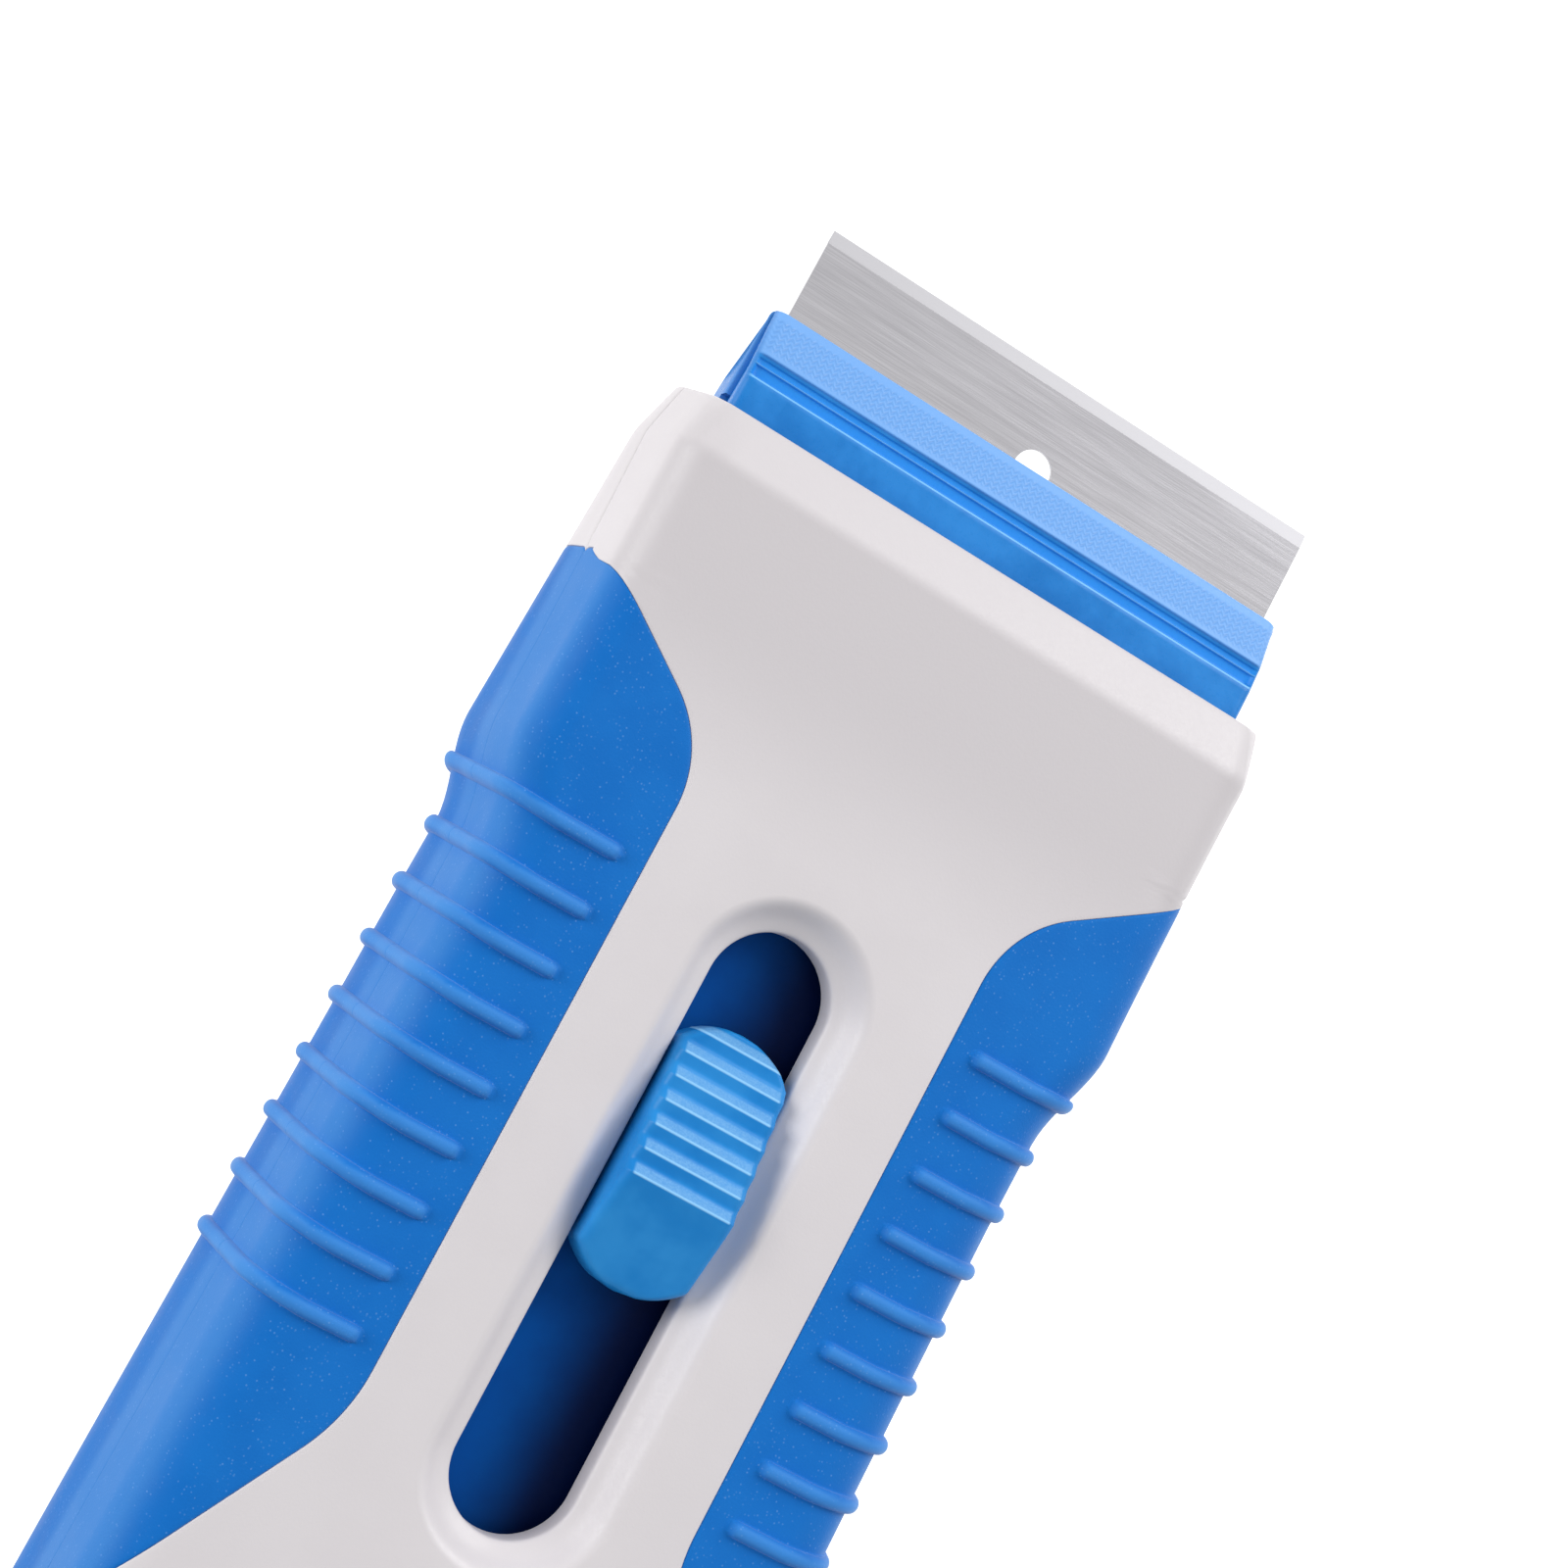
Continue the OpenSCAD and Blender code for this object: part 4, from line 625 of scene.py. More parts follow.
def lean(y):
    # angle of the side wall, steeper towards the nose
    h = handle
    far = min(1.0, max(0.0, (y - h["shoulder"]) / (h["mouth"] - h["noseLen"] - h["shoulder"])))
    head = (h["headLean"] - h["lean"]) * ease(h["waist"], h["shoulder"], y)
    return math.radians(h["lean"] + head + (h["noseLean"] - h["headLean"]) * far)


def corners(y):
    # centre and radius of the top corner, then of the back corner; the side wall leans between them
    h, a, tall = handle, lean(y), topZ(y) - bottomZ(y)
    head, nose = ease(h["waist"], h["shoulder"], y), ease(h["noseRoundFrom"], h["mouth"], y)
    top = h["topRound"] + (h["headRound"] - h["topRound"]) * head + (h["noseRound"] - h["headRound"]) * nose
    back = h["backRound"] + (h["headBackRound"] - h["backRound"]) * head
    rt, rb = min(top, h["topMost"] * tall), min(back, h["backMost"] * tall)
    xb, zt, zb = halfWidth(y) - rb, topZ(y) - rt, bottomZ(y) + rb
    return xb + ((zb - zt) * math.sin(a) + rb - rt) / math.cos(a), zt, rt, xb, zb, rb


def noseY(y, z):
    # the lower part of the mouth stands a little further out
    h = handle
    down = min(h["slantDeep"], max(0.0, h["slantTop"] - z))
    return y + h["noseSlant"] * ease(h["slantFrom"], h["mouth"], y) * down


def flatHalf(y, up):
    return corners(y)[0 if up else 3]


def wallRun(y):
    # length of the straight side wall between the two corners
    xt, zt, rt, xb, zb, rb = corners(y)
    return (zt - zb - (rb - rt) * math.sin(lean(y))) / math.cos(lean(y))


def seamRun(y):
    # length from the foot of the top corner to the seam
    xt, zt, rt, xb, zb, rb = corners(y)
    a, wall = lean(y), wallRun(y)
    s = (handle["seam"] - zt - rt * math.sin(a)) / math.cos(a)
    if s > 0:
        return rt * (math.asin((handle["seam"] - zt) / rt) - a)
    if s < -wall:
        return -wall - rb * (a - math.asin((handle["seam"] - zb) / rb))
    return s


def sidePoint(y, s, d, side):
    # point of the section at the length s above the foot of the top corner, and d outside the skin
    xt, zt, rt, xb, zb, rb = corners(y)
    a, wall = lean(y), wallRun(y)
    topArc, backArc = rt * (math.pi / 2 - a), rb * (math.pi / 2 + a)
    if s >= topArc:
        x, z = xt - (s - topArc), zt + rt + d
    elif s >= 0:
        x, z = xt + (rt + d) * math.cos(a + s / rt), zt + (rt + d) * math.sin(a + s / rt)
    elif s >= -wall:
        x = xt + (rt + d) * math.cos(a) - s * math.sin(a)
        z = zt + (rt + d) * math.sin(a) + s * math.cos(a)
    elif s >= -wall - backArc:
        turn = a + (s + wall) / rb
        x, z = xb + (rb + d) * math.cos(turn), zb + (rb + d) * math.sin(turn)
    else:
        x, z = xb + s + wall + backArc, zb - rb - d
    return (side * x, y, z)


def runTo(y, up, x):
    # length over the skin from the seam to the distance x from the middle
    xt, zt, rt, xb, zb, rb = corners(y)
    a, s0 = lean(y), seamRun(y)
    if not up:
        turn = math.pi / 2 if x < xb else math.acos(min(1.0, (x - xb) / rb))
        return s0 + wallRun(y) + rb * (a + turn) + max(0.0, xb - x)
    foot = xt + rt * math.cos(a)
    if x >= foot:
        return (foot - x) / math.sin(a) - s0
    turn = math.pi / 2 if x < xt else math.acos((x - xt) / rt)
    return rt * (turn - a) + max(0.0, xt - x) - s0


def bendX(run, r, angle):
    # the grip's edge turns outwards on an arc and runs on straight
    a = math.radians(angle)
    if run <= 0:
        return grip["edgeX"]
    if run < r * math.sin(a):
        return grip["edgeX"] + r - math.sqrt(r * r - run * run)
    return grip["edgeX"] + r * (1 - math.cos(a)) + (run - r * math.sin(a)) * math.tan(a)


def bendRun(w, r, angle):
    # how far along the handle that edge has come at the distance w from the middle
    a = math.radians(angle)
    return r * math.sin(a) + (w - grip["edgeX"] - r * (1 - math.cos(a))) / math.tan(a)


gripTip = grip["frontY"] + bendRun(handle["headHalf"], grip["frontR"], grip["frontAngle"])
gripHeel = grip["rearY"] - bendRun(handle["tailHalf"], grip["rearR"], grip["rearAngle"])


def gripWide(y, up):
    # length over the skin from the seam to the grip's edge
    front = bendX(y - grip["frontY"], grip["frontR"], grip["frontAngle"])
    rear = bendX(grip["rearY"] - y, grip["rearR"], grip["rearAngle"])
    tip = dome(y - gripTip + grip["tipStart"], 2.0)
    least = grip["tipStrip"] + (grip["leastStrip"] - grip["tipStrip"]) * tip
    return max(runTo(y, up, min(halfWidth(y), max(front, rear))), least)


def skinPoint(y, up, run, d, side):
    # point of the skin at this length from the seam; the grips' front corners are drawn back at the seam
    s = seamRun(y) + (run if up else -run)
    x, y1, z = sidePoint(y, s, d, side)
    near = max(0.0, 1 - abs(y - gripTip) / grip["notchLong"])
    back = grip["notch"] * near * max(0.0, 1 - run / grip["notchWide"]) ** 2
    return (x, noseY(y1, z) - back, z)


# white shells

shell = {
    "wall": 1.9, "pocketDeep": -0.95, "innerEnds": (-54.0, 50.0), "window": (-18.0, 33.0), "windowHalf": 9.0,
    "windowMost": 0.6, "nearMost": 0.48, "farMost": 0.875,
    "slotFront": 28.6, "slotRear": -13.4, "slotHalf": 4.35, "wellLow": 13.2, "wellHalf": 7.25,
    "mouthHalf": 21.0, "mouthLow": 8.7, "mouthHigh": 14.9, "mouthRound": 0.9,
    "screwX": 10.0, "screwY": -37.0, "screwHalf": 2.55, "screwDeep": 2.3, "screwFrame": 3.0,
    "columns": (5.0, 10.8), "screwColumns": (7.2, 12.8), "screwColumnsTo": -30.5,
    "rails": ((13.1, 14.4, 12.0), (11.4, 14.4, 10.35)), "railEnds": (-33.0, 30.5), "railLow": 1.5,
}
# edges as (distance from the edge, height over the skin)
pocketEdge = [(0.12, 0.0), (0.05, -0.008), (0.02, -0.025), (0.0, -0.06), (0.0, shell["pocketDeep"])]
seamEdge = [(0.20, 0.0), (0.09, -0.015), (0.04, -0.05), (0.0, -0.13)]
lipEdge = [(0.22, 0.0), (0.11, -0.02), (0.045, -0.06), (0.012, -0.11), (0.0, -0.17)]
# from the mouth inwards and from the back upwards, as (depth, growth) and (growth, height)
mouthEdge = [(0.0, 0.30), (0.07, 0.10), (0.25, 0.0), (5.5, 0.0)]
boreEdge = [(0.20, 0.0), (0.07, 0.05), (0.0, 0.18), (0.0, shell["screwDeep"])]
# the dish round the thumb slot, as (distance from the slot's middle line, height)
dishLine = [
    (6.75, 17.0), (6.55, 16.97), (6.33, 16.87), (6.11, 16.69), (5.89, 16.45), (5.67, 16.19),
    (5.45, 15.94), (5.23, 15.73), (5.01, 15.56), (4.79, 15.42), (4.58, 15.30), (4.42, 15.20),
    (4.33, 15.10), (4.29, 14.96), (4.28, 14.6), (4.28, shell["wellLow"])]
screwWindow = (shell["screwY"] - shell["screwFrame"], shell["screwY"] + shell["screwFrame"])


def shellStations():
    # places along the handle, each with the depth of the grips' pockets and of the mouth's lip there
    bevel = handle["mouth"] - handle["noseLen"]
    front = steps(gripTip + 0.6, bevel - 0.8, 6) + steps(bevel - 0.6, bevel + 0.6, 12)
    front += steps(bevel + 0.9, handle["mouth"] - 0.8, 3)
    inside = steps(gripHeel + 0.2, grip["rearY"] - 0.5, 40) + steps(grip["rearY"], 16.0, 16)
    inside += steps(16.6, grip["frontY"], 36) + steps(grip["frontY"] + 0.3, gripTip - 0.15, 40)
    inside += shell["window"]
    turn = handle["tail"] + handle["tailRound"]
    rear = steps(turn, gripHeel - 0.5, 5) + list(screwWindow)
    rear += [turn - handle["tailRound"] * math.sin(math.pi / 2 * k / 30) for k in range(1, 31)]
    rows = [(handle["mouth"] - off, 0.0, drop) for off, drop in reversed(lipEdge)]
    rows += [(y, 0.0, 0.0) for y in sorted(front, reverse=True)]
    rows += [(gripTip + off, drop, 0.0) for off, drop in pocketEdge]
    rows += [(y, shell["pocketDeep"], 0.0) for y in sorted(inside, reverse=True)]
    rows += [(gripHeel - off, drop, 0.0) for off, drop in reversed(pocketEdge)]
    return rows + [(y, 0.0, 0.0) for y in sorted(set(rear), reverse=True)]


def shellRuns(y, up):
    # lengths from the middle to the seam, each with the depth of the pocket and of the seam's edge there
    flat = flatHalf(y, up)
    if up:
        xs = [0.0, min(shell["windowHalf"], shell["windowMost"] * flat)]
    else:
        near, far = shell["screwColumns" if y < shell["screwColumnsTo"] else "columns"]
        xs = [0.0, min(near, shell["nearMost"] * flat), min(far, shell["farMost"] * flat)]
    edge = gripWide(y, up)
    runs = [(runTo(y, up, x), 0.0, 0.0) for x in xs]
    runs += [(run, 0.0, 0.0) for run in steps(runs[-1][0], edge + 0.5, 12)[1:]]
    runs += [(edge + off, drop, 0.0) for off, drop in pocketEdge]
    runs += [(run, shell["pocketDeep"], 0.0) for run in steps(edge, 0.4, 12)[1:]]
    return runs + [(off, shell["pocketDeep"], drop) for off, drop in seamEdge]


def outerRing(y, up, pocket, lip):
    # from seam to seam over the middle, sunk where a grip, the seam or the mouth's lip asks for it
    halves = []
    for side in (1, -1):
        row = []
        for run, inset, edge in shellRuns(y, up):
            d = min(max(pocket, inset), edge, lip)
            row.append(skinPoint(y, up, run, d, side))
        row.append(skinPoint(y, up, 0.0, -shell["wall"], side))
        halves.append(row)
    return halves[0][::-1] + halves[1][1:]


def innerRing(y, up):
    count = 2 if up else 3  # columns that windows are cut between
    runs = [run for run, inset, edge in shellRuns(y, up)]
    runs = runs[:count] + steps(runs[count - 1], 0.0, 12)[1:]
    halves = [[skinPoint(y, up, run, -shell["wall"], side) for run in runs] for side in (1, -1)]
    return halves[0][::-1] + halves[1][1:]


def mouthRing(y, up, grow):
    # outline of the mouth, point by point as the outer skin's ring
    mouth = handle["mouth"]
    s = shell
    r, high = s["mouthRound"], s["mouthHigh"] if up else s["mouthLow"]
    way = 1 if up else -1
    wall, quarter = abs(high - handle["seam"]) - r, r * math.pi / 2
    corner = runTo(mouth, up, flatHalf(mouth, up))
    halves = []
    for side in (1, -1):
        row = []
        for run in [run for run, inset, edge in shellRuns(mouth, up)] + [0.0]:
            t = min(1.0, run / corner) * (wall + quarter)
            if run > corner:
                share = (run - corner) / (runTo(mouth, up, 0.0) - corner)
                x, z = (s["mouthHalf"] - r) * (1 - share), high + way * grow
            elif t < wall:
                x, z = s["mouthHalf"] + grow, handle["seam"] + way * t
            else:
                a = (t - wall) / r
                x = s["mouthHalf"] - r + (r + grow) * math.cos(a)
                z = high - way * r + way * (r + grow) * math.sin(a)
            row.append((side * x, noseY(y, z), z))
        halves.append(row)
    return halves[0][::-1] + halves[1][1:]


def slotRing(half, z, arcCuts=40, sideCuts=24):
    # ring round the thumb slot, at this distance from its middle line
    s = shell
    front, rear = s["slotFront"] - s["slotHalf"], s["slotRear"] + s["slotHalf"]
    ring = []
    for first, end, other, way in ((0.0, front, rear, -1), (math.pi, rear, front, 1)):
        turn = [first + math.pi * k / arcCuts for k in range(arcCuts + 1)]
        ring += [(half * math.cos(a), end + half * math.sin(a), z) for a in turn]
        ring += [(way * half, y, z) for y in steps(end, other, sideCuts)[1:-1]]
    return ring


def windowLoop(rows, stations, first, last, columns):
    # the grid's own points round a window of cells between two stations and two columns
    inside = [k for k, station in enumerate(stations) if first - 1e-6 <= station[0] <= last + 1e-6]
    a, b = inside[0], inside[-1]
    left, right = columns
    loop = [rows[a][i] for i in range(left, right + 1)]
    loop += [rows[k][right] for k in range(a + 1, b)]
    loop += [rows[b][i] for i in range(right, left - 1, -1)]
    return loop + [rows[k][left] for k in range(b - 1, a, -1)], set(range(a, b))


def cutThumbSlot(skin, rows, inner, stations, deep):
    # the dish and the slot, and below them the well in the shell's inside
    middle, hub = len(rows[0]) // 2, len(inner[0]) // 2
    loop, gone = windowLoop(rows, stations, *shell["window"], (middle - 1, middle + 1))
    cuts = {k: {middle - 1, middle} for k in gone}
    rim = addRows(skin, [slotRing(half, z) for half, z in dishLine], closed=True)
    skin["fills"].append([loop, rim[0]])
    under, gone = windowLoop(inner, deep, *shell["window"], (hub - 1, hub + 1))
    innerCuts = {k: {hub - 1, hub} for k in gone}
    heights = (handle["top"] - shell["wall"], shell["wellLow"])
    well = addRows(skin, [slotRing(shell["wellHalf"], z) for z in heights], closed=True)
    bridge(skin, well[1], rim[-1], closed=True)
    skin["fills"].append([under, well[0]])
    return cuts, innerCuts


def cutScrewBores(skin, rows, stations):
    # two blind bores in the back
    middle, cuts = len(rows[0]) // 2, {}
    for side in (1, -1):
        columns = (middle - 2, middle - 1) if side > 0 else (middle + 1, middle + 2)
        loop, gone = windowLoop(rows, stations, *screwWindow, columns)
        for k in gone:
            cuts.setdefault(k, set()).add(columns[0])
        at = (side * shell["screwX"], shell["screwY"])
        bore = [[(x, y, z) for x, y in circle(at, shell["screwHalf"] + more, 48)] for more, z in boreEdge]
        bore = addRows(skin, bore, closed=True)
        skin["fills"].append([loop, bore[0]])
        addCap(skin, bore[-1], (*at, shell["screwDeep"]))
    return cuts


def addRails(skin):
    # rails for the slide, on the floor
    rear, front = shell["railEnds"]
    for side in (1, -1):
        for x0, x1, z in shell["rails"]:
            low, high = sorted((side * x0, side * x1))
            addBox(skin, (low, rear, shell["railLow"]), (high, front, z))


def makeShell(up):
    skin = newSkin()
    stations = shellStations()
    rows = [addRow(skin, outerRing(y, up, pocket, lip)) for y, pocket, lip in stations]
    rear, front = shell["innerEnds"]
    deep = [station for station in stations if rear < station[0] < front]
    inner = [addRow(skin, innerRing(station[0], up)) for station in deep]
    cuts, innerCuts = {}, {}
    if up:
        cuts, innerCuts = cutThumbSlot(skin, rows, inner, stations, deep)
    else:
        cuts = cutScrewBores(skin, rows, stations)
    for strip, gone in ((rows, cuts), (inner, innerCuts)):
        for k in range(len(strip) - 1):
            bridge(skin, strip[k], strip[k + 1], skip=gone.get(k, ()))
    mouth = addRows(skin, [mouthRing(handle["mouth"] - back, up, grow) for back, grow in mouthEdge])
    bridge(skin, rows[0], mouth[0])
    addCap(skin, rows[-1], (0.0, handle["tail"], handle["seam"]))
    addCap(skin, inner[-1], (0.0, deep[-1][0], handle["seam"]))
    if not up:
        addRails(skin)
    return skin


makePiece("topShell", makeShell(True), "handle", whitePlastic, ["top_shell"])
makePiece("bottomShell", makeShell(False), "handle", whitePlastic, ["bottom_shell"])


# soft grips with ribs

gripSeam = [(0.08, 0.0), (0.03, -0.003), (0.01, -0.010), (0.0, -0.025), (0.0, -0.85)]
gripEdge = [(0.0, -0.85), (0.005, -0.12), (0.04, -0.06), (0.11, -0.025), (0.22, -0.006), (0.38, 0.0)]


def ribHeight(y, up, run):
    nearest = min(grip["ribCount"] - 1, max(0, round((grip["ribFirst"] - y) / grip["ribPitch"])))
    away = y - (grip["ribFirst"] - nearest * grip["ribPitch"])
    if abs(away) > grip["ribReach"]:
        return 0.0
    if up:
        last = runTo(y, True, grip["ribEndX"])
    else:
        last = seamRun(y) + wallRun(y) + corners(y)[5] * (math.radians(grip["ribBackAngle"]) + lean(y))
    far = math.hypot(away, max(0.0, run - last))
    half, foot = grip["ribHalf"], grip["ribFoot"]
    if far < half:
        crest = math.sqrt(max(0.0, 1 - (far / half) ** 2)) ** grip["ribPower"]
        return grip["ribHeight"] * crest + grip["footHeight"]
    return grip["footHeight"] * max(0.0, 1 - (far - half) / foot) ** 2


def ribSlant(y, up, run):
    # the ribs lean forward as they go down the side
    s = seamRun(y) + (run if up else -run)
    a, wall = lean(y), wallRun(y)
    topArc = corners(y)[2] * (math.pi / 2 - a)
    foot = -wall - corners(y)[5] * (math.pi / 2 + a)
    way = min(1.0, max(0.0, (topArc - s) / (topArc + wall + grip["slantBelow"])))
    way *= 1 - ease(foot, foot - grip["slantFade"], s)
    return grip["ribSlant"] * way * ease(*grip["slantFront"], y) * ease(*grip["slantRear"], y)


def gripStations():
    between = steps(gripHeel + 0.5, grip["rearY"], 40) + steps(grip["frontY"], gripTip - 0.5, 40)
    between += steps(grip["rearY"] + 0.4, grip["frontY"] - 0.4, 60)
    ribs = [grip["ribFirst"] - k * grip["ribPitch"] for k in range(grip["ribCount"])]
    offsets = [0.0, 0.11, 0.22, 0.32, 0.41, 0.47, 0.52, 0.55, 0.569, 0.575, 0.61, 0.65, 0.69, 0.8, 1.0]
    clear = offsets[-1] + 0.1
    places = [y for y in between if min(abs(y - rib) for rib in ribs) > clear]
    places += [rib + sign * off for rib in ribs for off in offsets for sign in (1, -1)]
    rows = [(gripTip - grip["gap"] - off, drop) for off, drop in gripEdge]
    rows += [(y, 0.0) for y in sorted(set(places), reverse=True)]
    return rows + [(gripHeel + grip["gap"] + off, drop) for off, drop in reversed(gripEdge)]


def makeGrip(up, side):
    skin = newSkin()
    rows = []
    count = 60 if up else 76
    for y, end in gripStations():
        wide = gripWide(y, up) - grip["gap"]
        runs = [(wide - off, drop) for off, drop in gripEdge]
        runs += [(run, 0.0) for run in steps(wide - gripEdge[-1][0], grip["seamFrom"], count)[1:-1]]
        runs += [(grip["seamGap"] + off, drop) for off, drop in gripSeam]
        row = []
        for run, drop in runs:
            d = min(end, drop) + ribHeight(y, up, run)
            row.append(skinPoint(y + ribSlant(y, up, run), up, run, d, side))
        rows.append(row)
    addRows(skin, rows)
    return skin


for nodeName, pieceName, up, side in (
        ("top_left_grip", "topLeftGrip", True, -1),
        ("top_right_grip", "topRightGrip", True, 1),
        ("bottom_left_grip", "bottomLeftGrip", False, -1),
        ("bottom_right_grip", "bottomRightGrip", False, 1)):
    makePiece(pieceName, makeGrip(up, side), "handle", gripRubber, [nodeName], sharp=60)


# blade holder

jaw = {
    "tip": 63.75, "tipHalf": 20.6, "baseHalf": 20.7, "taperLong": 7.6, "cornerDeep": 0.55, "cornerWide": 0.55,
    "upperRear": 51.75, "lowerRear": 51.55, "upperLow": 12.195, "lowerHigh": 12.155, "low": 9.2,
    "lipHigh": 12.0, "endRound": 0.55, "lowRound": 0.7, "rimRound": 0.16, "grooveEnd": (0.10, 0.50),
    "bladeLow": 11.845, "bladeHalf": 19.62, "bladeBack": 52.32, "ledge": 0.01,
    "notch": (56.35, 57.25), "notchDeep": 0.9, "notchLow": 11.3,
    "flangeHalf": 11.0, "flangeRear": 43.15, "flangeFront": 51.9, "flangeHigh": 10.4,
    "hinge": (49.95, 12.2), "knuckle": 1.5, "upperKnuckle": (2.6, 12.5), "lowerKnuckle": (12.8, 16.0),
    "upperWeb": ((49.95, 12.2), (52.0, 13.7)), "lowerWeb": ((49.95, 10.7), (51.9, 11.84)),
    "draft": 0.16, "lowDraft": 0.05, "draftFrom": 20.0,
}


def jawHalf(y):
    half = jaw["tipHalf"] + (jaw["baseHalf"] - jaw["tipHalf"]) * min(1.0, (jaw["tip"] - y) / jaw["taperLong"])
    t = (jaw["tip"] - y) / jaw["cornerDeep"]
    if t < 1:
        half -= jaw["cornerWide"] * (1 - math.sqrt(max(0.0, 1 - (1 - t) ** 2)))
    return half


upperTop = softLine([
    (jaw["tip"], jaw["upperLow"], 0.0), (jaw["tip"], 12.70, 0.16), (60.40, 13.76, 0.09), (60.30, 13.62, 0.05),
    (60.12, 13.60, 0.05), (60.04, 13.46, 0.05), (59.76, 13.45, 0.05), (59.69, 13.60, 0.04),
    (59.62, 13.60, 0.04), (59.55, 13.42, 0.05), (58.88, 13.40, 0.10), (58.74, 13.94, 0.07),
    (58.45, 14.04, 0.15), (jaw["upperRear"], 14.05, 0.0)])
upperPlain = [(60.40, 13.76), (58.45, 14.04), (51.0, 14.05)]


def plainTop(y):
    # the holder's top without its grooves, which run out just before its ends
    for (y0, z0), (y1, z1) in zip(upperPlain, upperPlain[1:]):
        if y1 <= y <= y0:
            return z0 + (z1 - z0) * (y0 - y) / (y0 - y1)
    return None


def stopX(kind, value, half, margin=0.0):
    # a place across the holder: in from its left or right end, a share of the way between, or fixed
    if kind == "left":
        return -half + value
    if kind == "right":
        return half - value
    return margin - half + 2 * (half - margin) * value if kind == "share" else value


def addKnuckles(skin, span, web):
    # hinge barrels on both sides, each with the web that carries it
    for side in (1, -1):
        x0, x1 = sorted(side * x for x in span)
        addBarrel(skin, jaw["hinge"], jaw["knuckle"], x0, x1)
        addBox(skin, (x0, *web[0]), (x1, *web[1]))


def addLoaf(skin, rows):
    # closed sections from the left end to the right one, with flat ends
    made = addRows(skin, rows, closed=True)
    for ends in (made[0], made[-1]):
        skin["faces"].append(tuple(ends))


def makeUpperJaw():
    skin = newSkin()
    insets = [0.0, 0.03, 0.08, 0.16, 0.26, 0.40, 0.55, 0.75, 0.95, 1.15, 1.35, 1.6, 2.0]
    stops = [("left", inset) for inset in insets] + [("share", t) for t in steps(0.0, 1.0, 24)[1:-1]]
    stops += [("right", inset) for inset in reversed(insets)]
    rows = []
    for kind, value in stops:
        row = []
        for y, z in upperTop:
            half = jawHalf(y)
            x = stopX(kind, value, half, insets[-1])
            inset = half - abs(x)
            plain = plainTop(y)
            if plain is not None:
                z = plain + (z - plain) * ease(*jaw["grooveEnd"], inset)
            height = z - jaw["upperLow"]
            z -= min(roundDrop(inset, jaw["endRound"]), 0.9 * height)
            row.append((x * (1 - jaw["draft"] * (z - jaw["upperLow"]) / jaw["tipHalf"]), y, z))
        row.append((row[-1][0], jaw["upperRear"], jaw["upperLow"]))
        rows.append(row)
    addLoaf(skin, rows)
    addKnuckles(skin, jaw["upperKnuckle"], jaw["upperWeb"])
    return skin


def lowerTop(x, y, inset):
    # height of the lower half's top, with the blade's seat and a notch in each end
    step = jaw["ledge"] / 2
    if abs(x) < jaw["bladeHalf"] + step and y > jaw["bladeBack"] - step:
        return jaw["bladeLow"]
    if jaw["notch"][0] <= y <= jaw["notch"][1] and inset < jaw["notchDeep"] - step:
        return jaw["notchLow"]
    return jaw["lowerHigh"] - 0.5 * roundDrop(inset, jaw["rimRound"])


def makeLowerJaw():
    skin = newSkin()
    tip, rear, low, ledge = jaw["tip"], jaw["lowerRear"], jaw["low"], jaw["ledge"]
    under = softLine([(tip, jaw["lipHigh"], 0.0), (tip, 11.2, 0.18), (58.1, low, 0.8), (rear, low, 0.0)], 6)
    first, last = jaw["notch"]
    topYs = [rear, jaw["bladeBack"] - 2 * ledge, jaw["bladeBack"], 54.0]
    topYs += [first - ledge, first, last, last + ledge]
    topYs += [59.0, 61.0, 62.6, 62.9, 63.2, 63.4, 63.55, 63.65, 63.72, tip]
    insets = [0.0, 0.03, 0.09, 0.18, 0.3, 0.45, 0.6, jaw["notchDeep"] - ledge, jaw["notchDeep"]]
    inner = [10.0, jaw["bladeHalf"], jaw["bladeHalf"] + ledge]
    stops = [("left", inset) for inset in insets] + [("fixed", -x) for x in reversed(inner)]
    stops += [("fixed", x) for x in inner] + [("right", inset) for inset in reversed(insets)]
    rows = []
    for kind, value in stops:
        row = []
        for y, z in under + [(y, None) for y in topYs]:
            half = jawHalf(y)
            x = max(-half, min(half, stopX(kind, value, half)))
            inset = half - abs(x)
            if z is None:
                z = lowerTop(x, y, inset)
            else:
                z += min(roundDrop(inset, jaw["lowRound"]), jaw["lipHigh"] - z)
            if abs(x) > jaw["draftFrom"]:
                x *= 1 + jaw["lowDraft"] * max(0.0, jaw["lowerHigh"] - z) / jaw["tipHalf"]
            row.append((x, y, z))
        rows.append(row)
    addLoaf(skin, rows)
    half = jaw["flangeHalf"]
    addBox(skin, (-half, jaw["flangeRear"], low), (half, jaw["flangeFront"], jaw["flangeHigh"]))
    addKnuckles(skin, jaw["lowerKnuckle"], jaw["lowerWeb"])
    return skin


makePiece("upperJaw", makeUpperJaw(), "upper_jaw", jawPlastic, ["upper_jaw"], sharp=42)
makePiece("lowerJaw", makeLowerJaw(), "carriage", jawPlastic, ["lower_jaw"], sharp=42)


# stepped thumb button

def buttonRise(t):
    return button["frontTop"] + (button["crest"] - button["frontTop"]) * (1 - (1 - t) ** button["swell"])


def buttonHalf(y):
    b = button
    half = b["half"]
    for away in (b["front"] - y, y - b["rear"]):
        if away < b["endRound"]:
            half = min(half, math.sqrt(max(0.0, b["endRound"] ** 2 - (b["endRound"] - away) ** 2)))
    return half


